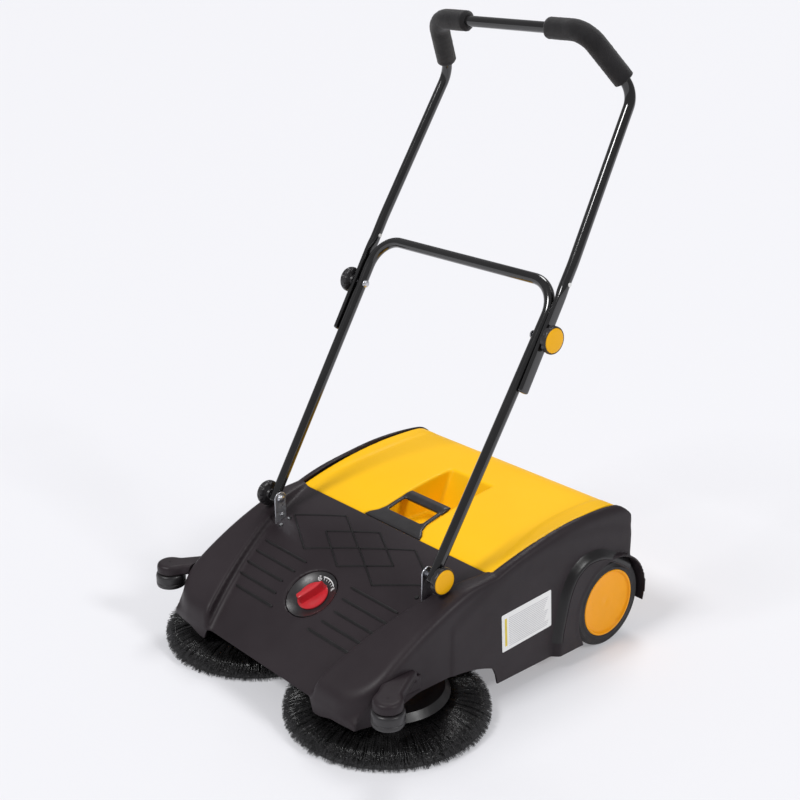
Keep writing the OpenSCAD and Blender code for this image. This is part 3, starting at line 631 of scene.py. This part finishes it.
def build_flare_band():
    """A dark, slightly glossy sheet laid on the slope of each wheel flare as painted shade, and the bead
    along its inner edge.
    """
    line = np.array([p for p in FLARE if 34 < p[1] and p[0] < 324])
    dense = [line[0]]
    for a, b in zip(line[:-1], line[1:]):
        m = max(1, int(np.linalg.norm(b - a) / 5))
        dense += [a + (b - a) * k / m for k in range(1, m + 1)]
    line = np.array(dense)
    d = np.gradient(line, axis=0)
    d /= np.linalg.norm(d, axis=1)[:, None]
    inward = np.stack([d[:, 1], -d[:, 0]], 1)
    depths = np.concatenate([np.linspace(0.5, FLARE_RAMP, 9), [FLARE_RAMP + 4]])
    lift = np.array([-0.5] + [0.5] * 8 + [-0.6])
    verts = []
    for p, q in zip(line, inward):
        at = p + q * depths[:, None]
        x = flare_out(depths) + lift
        top = np.column_stack([x, at])
        low = np.column_stack([x - 1.2, at])
        verts.append(np.concatenate([top, low[::-1]]))
    inner = line + inward * (FLARE_RAMP + 3.5)
    path = np.column_stack([np.full(len(line), WALL_X + 13.6), inner])
    bead = sweep(path, 1.4, 1.4, n=10)
    band = (np.concatenate(verts), rings(len(line), 2 * len(depths)))
    # The band is painted shade: a dark sheet in the relief plastic laid just over the flare slope.
    for name, part, mat in (("flare_painted_shade_bands", band, "relief"), ("flare_beads", bead, "housing")):
        v, f = merge([part, mirrored(part)])
        piece(name, v, f, mat, "chassis", angle=40)


# ------------------------------------------------------------ hopper lid and its handle flap
RECESS = [(-77, -26), (-77, SEAM_Y), (-72, -8), (-61, 4), (-56, 20), (-54, 148), (54, 148), (56, 20),
          (61, 4), (72, -8), (77, SEAM_Y), (77, -26)]


def lid_top(x, y, z):
    arc = arc_sd(y, z, LID_ARC)
    top = smax(arc, tail_sd(y, z, LID_TAIL, 2.7), 6)
    wide = 4 + 22 * step01((y + 30) / 200)
    return top + 1.9 * step01((LID_X - x - wide) / 12) * step01((302 - y) / 14) * step01((y + 19) / 60)


def lid_sd(x, y, z):
    x = np.abs(x)
    d = smax(lid_top(x, y, z), x - LID_X, 3)
    d = smax(d, SEAM_Y - y, 3)
    back = (y - 148) * 0.883 - (z - 196) * 0.469
    pocket = smax(smax(poly_sd(x, y, RECESS[:5] + [(-54, 230), (54, 230)] + RECESS[7:]), back, 8), 196 - z, 7)
    return smax(d, -pocket, 4)


def lid_keep(p):
    x, y, z = np.abs(p[:, 0]), p[:, 1], p[:, 2]
    top = arc_top(y, LID_ARC) - 14
    flange = np.where(y > 240, np.maximum(192, top - (y - 240) * 1.1), top)
    flange = np.where((x < 84) & (y < 200), 186, flange)
    return flange - z


def build_lid():
    p, f = surface(lid_sd, (-6, -28, 180), (262, 332, 280), 3.0)
    p, f = clip(p, f, lid_keep(p))
    v, faces = half_and_mirror(p, f)
    lid = piece("hopper_lid_skin", v, faces, "lid", "hopper", ("hopper_lid",))
    finished(lid, ("SOLIDIFY", dict(thickness=2.6 * MM, offset=-1, use_even_offset=False)))
    lid.data.set_sharp_from_angle(angle=math.radians(50))


def flap_sd(x, y, z):
    x = np.abs(x)
    top = arc_sd(y, z, LID_ARC, 0.4)
    outline = poly_sd(x, y, [(-75, -17), (-71, -7.5), (-60, 4.5), (-54.6, 20), (-52.6, 81), (52.6, 81),
                             (54.6, 20), (60, 4.5), (71, -7.5), (75, -17)])
    slab = smax(smax(top, -(top + 5.0), 1.5), outline, 4)
    qx, qy = x - 39, np.abs(y - 36) - 15.5
    hole = np.hypot(np.maximum(qx, 0), np.maximum(qy, 0)) + np.minimum(np.maximum(qx, qy), 0) - 6
    slab = smax(slab, -hole, 3)
    bar = smax(np.hypot(y - 70, (z - 246.4) * 1.0) - 8.2, x - 50.5, 6)
    return smin(slab, bar, 5)


def build_flap():
    p, f = surface(flap_sd, (-80, -22, 214), (80, 88, 262), 1.5)
    piece("carry_flap", p, f.tolist(), "knob", "grip_flap", ("carry_handle",))


# ------------------------------------------------------------ tubes
def fillet(points, bends, gap=6.0):
    """A polyline in 3D with its corners rounded to the given radii, as evenly spaced points."""
    pts = [np.array(p, float) for p in points]
    out = [pts[0]]
    for i in range(1, len(pts) - 1):
        a, v, b = pts[i - 1], pts[i], pts[i + 1]
        d, e = (v - a) / np.linalg.norm(v - a), (b - v) / np.linalg.norm(b - v)
        ang = math.acos(np.clip(d @ e, -1, 1))
        r = bends[i - 1]
        t = r * math.tan(ang / 2)
        n = max(4, int(r * ang / 3))
        axis = np.cross(d, e)
        axis /= np.linalg.norm(axis)
        side = np.cross(axis, d)
        c = v - d * t + side * r
        for k in range(n + 1):
            w = ang * k / n
            out.append(c - side * r * math.cos(w) + d * r * math.sin(w))
    out.append(pts[-1])
    dense = [out[0]]
    for a, b in zip(out[:-1], out[1:]):
        m = max(1, int(np.linalg.norm(b - a) / gap))
        dense += [a + (b - a) * k / m for k in range(1, m + 1)]
    return np.array(dense)


def sweep(path, half_a, half_b, n=28, power=2.0):
    """A tube along the path. half_a and half_b are its half widths across, along the carried frame."""
    m = len(path)
    a = np.broadcast_to(half_a, m)
    b = np.broadcast_to(half_b, m)
    pw = np.broadcast_to(power, m)
    tan = np.gradient(path, axis=0)
    tan /= np.linalg.norm(tan, axis=1)[:, None]
    u = np.array((1.0, 0.0, 0.0))
    verts = []
    ang = 2 * np.pi * np.arange(n) / n
    for i in range(m):
        u = u - tan[i] * (u @ tan[i])
        u /= np.linalg.norm(u)
        w = np.cross(tan[i], u)
        c, s = np.cos(ang), np.sin(ang)
        ca = np.sign(c) * np.abs(c) ** (2 / pw[i])
        sa = np.sign(s) * np.abs(s) ** (2 / pw[i])
        verts.append(path[i] + np.outer(ca * a[i], u) + np.outer(sa * b[i], w))
    return np.concatenate(verts), rings(m, n)


def lengths(path):
    return np.concatenate([[0], np.cumsum(np.linalg.norm(np.diff(path, axis=0), axis=1))])


LOWER = tilt(-LOWER_LEAN, *PIVOT)
UPPER = (LOWER @ Matrix.Translation((0, 0, KNOB_S))
         @ Matrix.Rotation(math.radians(LOWER_LEAN - UPPER_LEAN), 4, "X"))


def crank_top():
    a = math.radians(UPPER_LEAN)
    y = -74.5 * math.cos(a) - 99 * math.sin(a)
    z = -74.5 * math.sin(a) + 99 * math.cos(a)
    return y, 432.6 + z


def round_ends(path, r, tip):
    """Radius along the path with both ends rounded over tip."""
    s = lengths(path)
    e = np.minimum(s, s[-1] - s)
    t = np.clip(e / tip, 0, 1)
    return r * np.sqrt(np.clip(1 - (1 - t) ** 2, 0.0, 1)) * 0.999 + 0.001


def build_handles():
    path = fillet([(-LEG_X0, 0, -12.5), (-LEG_X1, 0, LOWER_LEN), (LEG_X1, 0, LOWER_LEN), (LEG_X0, 0, -12.5)],
                  [55, 55])
    head = [path[0] + (path[1] - path[0]) * t for t in (0, 0.08, 0.25, 0.5, 0.75)]
    tail = [path[-1] + (path[-2] - path[-1]) * t for t in (0.75, 0.5, 0.25, 0.08, 0)]
    path = np.array(head + list(path[1:-1]) + tail)
    r = round_ends(path, TUBE_R, 5)
    v, f = place(sweep(path, r, r), LOWER)
    piece("lower_tube", v, f, "tube", "lower_frame", ("lower_handle",))

    ty, tz = crank_top()
    half = [(UPPER_X, 0, -98), (UPPER_X, 0, 130), (CRANK_X, 0, 432.6), (TOP_X, ty, tz)]
    pts = half + [(-x, y, z) for x, y, z in reversed(half)]
    path = fillet(pts, [300, 42, 42, 42, 42, 300])
    head = [path[0] + (path[1] - path[0]) * t for t in (0, 0.06, 0.2, 0.5)]
    tail = [path[-1] + (path[-2] - path[-1]) * t for t in (0.5, 0.2, 0.06, 0)]
    path = np.array(head + list(path[1:-1]) + tail)
    z = path[:, 2]
    flat = 1 - step01((z - 62) / 28)
    path[:, 0] += np.sign(path[:, 0]) * flat * (FOOT_X - UPPER_X)
    s = lengths(path)
    e = np.minimum(s, s[-1] - s)
    tip = np.sqrt(np.clip(1 - (1 - np.clip(e / 3, 0, 1)) ** 2, 0.02, 1))
    a = (TUBE_R + (4.4 - TUBE_R) * flat) * tip
    b = (TUBE_R + (10.35 - TUBE_R) * flat) * tip
    v, f = place(sweep(path, a, b, power=2 + 2.2 * flat), UPPER)
    piece("upper_tube", v, f, "tube", "upper_frame", ("upper_handle",))

    grip_path = fillet([(CRANK_X, 0, 432.6), (TOP_X, ty, tz), (0, ty, tz)], [42], gap=2.5)
    s = lengths(grip_path)
    keep = (s >= 24) & (grip_path[:, 0] >= 95)
    gp = grip_path[keep]
    r = round_ends(gp, FOAM_R, 3)
    r = np.maximum(r, TUBE_R + 0.7)
    ang_noise = rng.normal(0, 0.16, (len(gp), 40))
    for side, name in ((1, "right"), (-1, "left")):
        v, f = sweep(gp, r, r, n=40)
        c = np.repeat(gp, 40, axis=0)
        d = v - c
        v = c + d * (1 + ang_noise.ravel()[:, None] / FOAM_R)
        v, f = place((v, f), UPPER)
        if side < 0:
            v, f = mirrored((v, f))
        g = piece("foam_grip_" + name, v, f, "foam", "upper_frame", ("grip_" + name,))


# ------------------------------------------------------------ clamp knobs
def knob_parts():
    prof = rounded([(4.1, 0), (9.6, 0), (10.2, 4.2), (21.0, 5.2), (23.9, 7.2), (23.9, 14.6), (22.6, 16.9),
                    (21.6, 16.9), (21.4, 15.5), (4.1, 15.5)], 1.0, 3)

    def lobes(a, r, h):
        if r < 12:
            return r
        dip = max(0.0, math.cos(8 * a)) ** 2
        side = 1.0 if h < 12.5 else max(0.0, (15.0 - h) / 2.5)
        back = 0.5 * (1 + math.cos(16 * a)) * (0.6 if h < 6 else 0)
        return r - 2.1 * dip * side - back

    body = revolve(prof, n=160, lobes=lobes)
    cap = revolve([(0, 18.4), (9, 18.3), (16, 18.0), (19.4, 17.6), (20.7, 17.0), (21.2, 16.2), (21.2, 15.6),
                   (0, 15.6)], n=72, closed=False)
    return body, cap


def build_knobs():
    body, cap = knob_parts()
    mid = LOWER @ Matrix.Translation((0, 0, KNOB_S))
    low = Matrix.Translation((0, *PIVOT))
    for where, frame_m, x in (("low", low, KNOB_LOW_X), ("mid", mid, KNOB_MID_X)):
        for side in ("right", "left"):
            for part, mat, tag in ((body, "knob", "knob"), (cap, "cap", "cap")):
                v, f = along_x(part, x, 0, 0)
                v, f = place((v, f), frame_m)
                if side == "left":
                    v, f = mirrored((v, f))
                piece("clamp_%s_%s_%s" % (tag, where, side), v, f, mat, "clamp_%s_%s" % (where, side),
                      ("%s_%s_%s" % (tag, where, side),), angle=38)
    dome = [(0, 4.9), (2.5, 4.75), (5, 4.1), (6.7, 2.9), (7.4, 1.4), (7.4, 0), (0, 0)]
    head = revolve(dome, n=40, closed=False)
    for node, frame_m, x0, x1 in (("pivot_bolts", low, 199.4, 236.5), ("mid_bolts", mid, 214.1, 254.5)):
        parts = []
        for s in (1, -1):
            v, f = head
            hv = np.stack([x0 - v[:, 2], v[:, 0], v[:, 1]], 1)
            hf = [tuple(reversed(q)) for q in f]
            rod = revolve([(0, 0), (3.95, 0), (3.95, x1 - x0), (0, x1 - x0)], n=32, closed=False)
            rv = np.stack([x0 + rod[0][:, 2], rod[0][:, 0], rod[0][:, 1]], 1)
            part = merge([(hv, hf), (rv, rod[1])])
            part = place(part, frame_m)
            parts.append(part if s > 0 else mirrored(part))
        v, f = merge(parts)
        body_name = "chassis" if node == "pivot_bolts" else frame["nodes"]["mid_bolts"]["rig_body"]
        piece(node.replace("bolts", "bolt_heads"), v, f, "zinc", body_name, (node,), angle=40)


# ------------------------------------------------------------ wheels and bumpers
def build_wheels():
    w0, w = 233.0, 44.0
    tread = [(64.2, 0.6), (70, 0.2), (77, 0.5), (80, 1.6), (82.6, 3.4), (83.9, 6.0)]
    for h in (12, 19, 26, 33):
        tread += [(84, h - 1.6), (82.5, h - 1.1), (82.5, h + 1.1), (84, h + 1.6)]
    tread += [(83.9, w - 6), (82.6, w - 3.4), (80.2, w - 1.8), (77.5, w - 1.0), (76.5, w - 1.6),
              (70.5, w - 1.2), (69.6, w - 0.5), (66.2, w - 0.3), (64.2, w - 1.0)]
    tyre = revolve(rounded(tread, 0.7, 3), n=144)
    hub_prof = [(6.1, 3), (15, 3), (15, 14), (60.4, 14), (60.4, 2.2), (63.8, 2.2), (63.9, w - 1.0),
                (63.2, w - 0.3), (61.0, w - 0.2), (60.0, w - 0.9), (58.8, w - 3.0), (57, w - 4.6),
                (40, w - 6.0), (20, w - 6.8), (0, w - 6.5), (0, 33.6), (6.1, 33.6)]
    hub = revolve(rounded(hub_prof, 0.9, 3), n=120)
    for side in ("right", "left"):
        for part, mat, tag in ((tyre, "tyre", "tyre"), (hub, "hub", "hub")):
            v, f = along_x(part, w0, *AXLE, flip=side == "left")
            piece("wheel_%s_%s" % (tag, side), v, f, mat, side + "_wheel", (tag + "_" + side,), angle=35)
    roll = revolve(rounded([(4.1, 0.2), (22, 0.2), (26.4, 2.2), (27.4, 5.5), (27.4, 9.5), (26.7, 10.2),
                            (26.7, 11.6), (27.4, 12.3), (27.4, 22.5), (26.2, 26), (23.5, 27.8), (4.1, 27.8)],
                           0.8, 3), n=72)
    for s, side in ((1, "right"), (-1, "left")):
        v, f = roll
        v = v + np.array([BUMPER[0], BUMPER[1], BUMPER_Z])
        if s < 0:
            v, f = mirrored((v, f))
        piece("bumper_wheel_" + side, v, f, "knob", "bumper_" + side, ("bumper_roller_" + side,), angle=35)

    def bracket(x, y, z):
        hull = poly_sd(x, y, [(262, -268), (291, -308), (318, -305), (326, -288), (314, -272), (276, -206),
                              (262, -206)])
        disc = np.hypot(x - BUMPER[0], y - BUMPER[1]) - 24.5
        plan = smin(hull, disc, 8)
        top = BUMPER_Z + 47.4
        d = smax(smax(plan, z - top, 9), BUMPER_Z + 28.6 - z, 4)
        foot = np.maximum(np.maximum(x - 277, 272.2 - x),
                          np.maximum(np.abs(y + 230) - 33, np.abs(z - BUMPER_Z - 22) - 13))
        d = smin(d, foot, 4)
        r = np.hypot(x - BUMPER[0], y - BUMPER[1])
        nose = np.hypot(x - 206, y + 256) - 66.2
        d = np.maximum(d, np.where(y < -256, -nose, 272.2 - x))
        return np.maximum(d, np.minimum(3.9 - r, BUMPER_Z + 46.2 - z) * 1.0)

    p, f = surface(bracket, (258, -322, 92), (334, -190, 140), 1.6)
    both = merge([(p, f.tolist()), mirrored((p, f.tolist()))])
    piece("bumper_arms", both[0], both[1], "housing", "chassis", ("bumper_brackets",))


# ------------------------------------------------------------ brushes
def strands(roots, mids, tips, width, sides=3, segs=5, taper=0.55):
    """Thin bristles as bent prisms through root, middle and tip points."""
    n = len(roots)
    t = np.linspace(0, 1, segs + 1)[None, :, None]
    r, m, e = roots[:, None, :], mids[:, None, :], tips[:, None, :]
    line = (1 - t) ** 2 * r + 2 * t * (1 - t) * m + t * t * e
    d = np.gradient(line, axis=1)
    d /= np.linalg.norm(d, axis=2)[:, :, None]
    up = np.array([0.13, 0.21, 1.0])
    u = np.cross(d, up)
    u /= np.linalg.norm(u, axis=2)[:, :, None]
    w = np.cross(d, u)
    ang = 2 * np.pi * np.arange(sides) / sides
    wid = (width[:, None] * (1 - (1 - taper) * t[0, :, 0][None, :]))[:, :, None, None]
    ring = line[:, :, None, :] + wid * (np.cos(ang)[None, None, :, None] * u[:, :, None, :]
                                        + np.sin(ang)[None, None, :, None] * w[:, :, None, :])
    v = ring.reshape(-1, 3)
    base = (np.arange(n) * (segs + 1) * sides)[:, None, None]
    seg = (np.arange(segs) * sides)[None, :, None]
    k = np.arange(sides)[None, None, :]
    a = base + seg + k
    b = base + seg + (k + 1) % sides
    q = np.stack([a, b, b + sides, a + sides], -1).reshape(-1, 4)
    end0 = (base[:, 0, 0][:, None] + np.arange(sides)[::-1][None, :])
    end1 = (base[:, 0, 0][:, None] + segs * sides + np.arange(sides)[None, :])
    return v, [tuple(x) for part in (q, end0, end1) for x in part.tolist()]


def build_side_brush(side):
    s = 1 if side == "right" else -1
    n = 5200
    tufts = 64
    which = rng.integers(0, tufts, n)
    layer = rng.integers(0, 5, n)
    ang = (which + 0.5 * (layer % 2)) * 2 * np.pi / tufts + rng.normal(0, 0.016, n)
    spread = ang + rng.normal(0, 0.022, n)
    root_r = np.array([84.0, 91.0, 98.0, 102.0, 104.0])[layer] + rng.uniform(-2, 2, n)
    reach = np.array([171.0, 175.5, 177.2, 177.2, 174.5])[layer] - np.abs(rng.normal(0, 1.8, n))
    tip_r = np.minimum(DISC_R - 0.4, reach)
    rise = np.array([0.9, 3.5, 9.5, 18.0, 26.0])[layer]
    tip_z = np.clip(rise + rng.normal(0, 2.6, n), 0.9, 34)
    mid_r = root_r + (tip_r - root_r) * rng.uniform(0.50, 0.60, n)
    mid_z = np.array([24.0, 29.0, 33.5, 37.0, 39.5])[layer] + rng.normal(0, 1.3, n)
    root_z = 43.5 - (root_r - 76) * 0.14

    def ring(r, a, z):
        return np.stack([DISC_X + r * np.cos(a), DISC_Y + r * np.sin(a), z], 1)

    bend = rng.normal(0, 0.005, n)
    v, f = strands(ring(root_r, ang, root_z), ring(mid_r, (ang + spread) / 2 + bend, mid_z),
                   ring(tip_r, spread, tip_z), rng.uniform(0.45, 0.8, n), segs=4)
    v[:, 2] = np.maximum(v[:, 2], 0.55)
    core = revolve([(82, 40), (104, 38.6), (118, 34.5), (140, 24), (158, 12), (168, 3.2), (160, 2.2),
                    (130, 9), (104, 20), (82, 33)], n=120,
                   lobes=lambda a, r, h: r + (0 if r < 110 else 2.2 * math.sin(60 * a + h)))
    core = (core[0] + np.array([DISC_X, DISC_Y, 0]), core[1])
    v, f = merge([(v, f), core])
    if s < 0:
        v, f = mirrored((v, f))
    piece("side_bristles_" + side, v, f, "bristle", "side_brush_" + side, ("bristle_ring_" + side,))


def build_roller_brush():
    rows, per = 8, 330
    n = rows * per * 2
    i = np.arange(n)
    row = i % (rows * 2)
    x = rng.uniform(-191, 191, n)
    turn = np.where(row % 2 == 0, 1, -1) * x / 382 * 1.6
    ang = row * np.pi / rows + turn + rng.normal(0, 0.03, n)
    tip = ang + rng.normal(0, 0.05, n)
    tx = x + rng.normal(0, 2.2, n)

    def at(x, a, r):
        return np.stack([x, ROLLER[0] + r * np.cos(a), ROLLER[1] + r * np.sin(a)], 1)

    r1 = 61.0 + np.minimum(0.4, rng.normal(-0.4, 0.6, n))
    v, f = strands(at(x, ang, np.full(n, 20.0)), at((x + tx) / 2, ang + (tip - ang) * 0.3, np.full(n, 42.0)),
                   at(tx, tip, r1), rng.uniform(0.55, 0.9, n), segs=3)
    v[:, 2] = np.maximum(v[:, 2], 0.52)
    v[:, 0] = np.clip(v[:, 0], -193.8, 193.8)
    piece("roller_bristle_rows", v, f, "bristle", "roller", ("roller_bristles",))


# ------------------------------------------------------------ dial, label, small fittings
def build_dial():
    tiltm = tilt(DIAL_LEAN, DIAL_Y, DIAL_Z)
    disc = revolve([(0, -5.0), (18.5, -4.9), (20.5, -5.6), (27.6, -5.9), (28.8, -6.9), (28.8, -9.1),
                    (0, -9.1)], n=96, closed=False)
    stem = revolve([(0, -23.8), (6.0, -23.8), (6.0, -5), (0, -5)], n=32, closed=False)
    outline = rounded([(-24.5, -5.6, 4), (-6, -6.9, 12), (15, -5.6, 6), (28.6, 0, 1.2), (15, 5.6, 6),
                       (-6, 6.9, 12), (-24.5, 5.6, 4)], 3, 6)
    o = np.array(outline)
    rows = [(1.10, -5.6), (1.03, -4.0), (1.0, 2.0), (0.985, 8.4), (0.93, 10.3), (0.80, 10.9)]
    verts = []
    for i, (sc, h) in enumerate(rows):
        wide = np.array([sc if i < 4 else 1 - (1 - sc) * 0.5, sc])
        verts += [(*(p * wide), h) for p in o]
    bar = place((np.array(verts), rings(len(rows), len(o))), Matrix.Rotation(math.radians(66), 4, "Z"))
    v, f = place(merge([disc, stem, bar]), tiltm)
    piece("dial_grip", v, f, "dial", "height_dial", ("dial_knob",), angle=32)

    plate = revolve([(0, -10.2), (30, -10.2), (34, -9.6), (45.5, -4.2), (48.0, -2.6), (48.5, -3.4),
                     (47.5, -6.0), (34, -12.2), (0, -12.6)], n=96, closed=False)
    v, f = place(plate, tiltm)
    piece("dial_dish", v, f, "knob", "chassis", ("dial_plate",), angle=40)
    marks = []

    def arc_bar(r0, r1, a0, a1):
        k = max(2, int(abs(a1 - a0) / 4))
        z0, z1 = ((r - 34) * 0.47 - 9.5 for r in (r0, r1))
        prof = [(r0, z0 - 0.6), (r1, z1 - 0.6), (r1, z1 + 0.1), (r0, z0 + 0.1)]
        return revolve(prof, n=k, start=a0, sweep=a1 - a0)

    marks.append(arc_bar(39.4, 41.2, 52, 104))
    for a in (50, 60, 70, 80, 90, 100, 110, 120):
        marks.append(arc_bar(34.8, 38.0 if a % 20 else 39.6, a - 0.9, a + 0.9))
    for a0 in (44, 112):
        for i in range(3):
            marks.append(arc_bar(33.5 + 3.2 * i, 35.3 + 3.2 * i, a0, a0 + 7 - i))
    v, f = place(merge(marks), tiltm)
    piece("dial_scale", v, f, "print", "chassis")


def build_label():
    a = math.radians(3.5)
    wall = np.linspace(262.0, 290.0, 561)
    near = body_sd(wall, np.full(561, 51.0), np.full(561, 126.0))
    m = Matrix.Translation((float(wall[near < 0].max()) + 0.15, 51, 126)) @ Matrix.Rotation(a, 4, "X")

    def slab(y0, y1, z0, z1, x0, x1, r=0.6):
        o = rounded([(y0, z0), (y1, z0), (y1, z1), (y0, z1)], r, 4)
        return np.array([(x, y, z) for x in (x0, x1) for y, z in o]), rings(2, len(o))

    v, f = place(slab(-61, 61, -36, 36, -0.1, 0.35, 2.5), m)
    piece("side_label", v, f, "label", "chassis", ("label",), angle=40)
    bars = []
    z = 25.0
    i = 0
    while z > -30:
        end = 54 - (i * 7919 % 13)
        bars.append(slab(-44, end, z - 0.45, z + 0.45, 0.3, 0.46, 0.2))
        z -= 3.6
        i += 1
    v, f = place(merge(bars), m)
    piece("label_rules", v, f, "rule", "chassis", angle=40)
    v, f = place(slab(-54, -49, -27, 27, 0.3, 0.48, 0.6), m)
    piece("label_strip", v, f, "strip", "chassis", angle=40)


def build_brackets():
    """Folded steel ears that carry the handle pivots, with rounded edges."""
    def ear(x, y, z):
        round_top = np.hypot(y + 115, np.maximum(z - 245.6, 0)) - 12.8
        up = smax(np.abs(x - 201.0) - 1.4, np.maximum(round_top, 194 - z), 1.2)
        top = arc_sd(y, z, COVER_ARC)
        plan = np.maximum(np.abs(y + 115) - 19.5, np.abs(x - 189.8) - 12.6)
        foot = smax(np.abs(top + 4.9) - 1.25, plan, 1.2)
        return np.maximum(smin(up, foot, 3), 4.0 - np.hypot(y + 115, z - 245.6))

    p, f = surface(ear, (174, -137, 184), (206, -93, 261), 1.0)
    both = merge([(p, f.tolist()), mirrored((p, f.tolist()))])
    piece("pivot_ears", both[0], both[1], "zinc", "chassis", ("pivot_brackets",))


# ------------------------------------------------------------ finish of the CAD nodes that stay
def dress():
    finish = {
        "zinc": "carrier_plate_right carrier_plate_left lip_bar brush_beam spindles spindle_bolts lay_pins "
                "stub_axles bumper_pins",
        "core": "roller_hood drive_pulley roller_core roller_pulleys",
        "gear": "lay_gear_right lay_gear_left crown_gear_right crown_gear_left",
        "belt": "drive_belt brush_belt_right brush_belt_left",
        "relief": "brush_disc_right brush_disc_left",
        "tube": "bracket_screws", "lip": "dirt_lip", "plug": "tube_plugs", "tub": "hopper_tub",
    }
    for mat, nodes in finish.items():
        for node in nodes.split():
            ob = frame["nodes"][node]
            if not ob.material_slots:
                ob.data.materials.append(M[mat])
            for s in ob.material_slots:
                s.material = M[mat]


# ------------------------------------------------------------ stage, light and camera
def stage():
    mat = bpy.data.materials.new("studio_floor")
    mat.use_nodes = True
    nt = mat.node_tree
    b = nt.nodes["Principled BSDF"]
    b.inputs["Base Color"].default_value = (0.58, 0.58, 0.60, 1)
    b.inputs["Roughness"].default_value = 0.7
    b.inputs["Specular IOR Level"].default_value = 0.15
    b.inputs["Emission Color"].default_value = (0.96, 0.96, 1, 1)
    b.inputs["Emission Strength"].default_value = 0.27
    mesh = bpy.data.meshes.new("studio_floor")
    r = 40.0
    mesh.from_pydata([(-r, -r, 0), (r, -r, 0), (r, r, 0), (-r, r, 0)], [], [(0, 1, 2, 3)])
    mesh.materials.append(mat)
    floor = bpy.data.objects.new("studio_floor", mesh)
    bpy.context.scene.collection.objects.link(floor)
    world = bpy.data.worlds.new("studio_world")
    bpy.context.scene.world = world
    world.use_nodes = True
    bg = world.node_tree.nodes["Background"]
    bg.inputs[0].default_value = (0.97, 0.97, 1.0, 1)
    bg.inputs[1].default_value = 0.32

    def softbox(name, azimuth, elevation, power, angle):
        """A far softbox: the light comes from that azimuth (0 is -Y, 90 is +X) and elevation."""
        data = bpy.data.lights.new(name, "SUN")
        data.energy = power
        data.angle = math.radians(angle)
        ob = bpy.data.objects.new(name, data)
        bpy.context.scene.collection.objects.link(ob)
        a, e = math.radians(azimuth), math.radians(elevation)
        toward = Vector((math.sin(a) * math.cos(e), -math.cos(a) * math.cos(e), math.sin(e)))
        ob.rotation_euler = toward.to_track_quat("Z", "Y").to_euler()

    softbox("key", -8, 50, 1.75, 16)
    softbox("side", 104, 36, 1.0, 12)
    softbox("back", 215, 55, 0.85, 20)


def camera():
    az, el, roll = math.radians(48.366), math.radians(20.097), math.radians(-0.0217)
    back = Vector((math.sin(az) * math.cos(el), -math.cos(az) * math.cos(el), math.sin(el)))
    right = (-back).cross(Vector((0, 0, 1))).normalized()
    up = right.cross(-back)
    r2 = right * math.cos(roll) + up * math.sin(roll)
    u2 = -right * math.sin(roll) + up * math.cos(roll)
    data = bpy.data.cameras.new("photo_camera")
    data.sensor_width = 36
    data.lens = 1342.32 * 36 / 800
    data.clip_end = 200
    cam = bpy.data.objects.new("photo_camera", data)
    bpy.context.scene.collection.objects.link(cam)
    m = Matrix((r2, u2, back)).transposed().to_4x4()
    m.translation = Vector((1.6478, -1.4610, 1.2726))
    cam.matrix_world = m
    bpy.context.scene.camera = cam
    bpy.context.scene.view_settings.view_transform = "Standard"


build_shell()
build_lid()
build_flap()
build_handles()
build_knobs()
build_wheels()
for brush_side in ("right", "left"):
    build_side_brush(brush_side)
build_roller_brush()
build_dial()
build_label()
build_brackets()
dress()
stage()
camera()
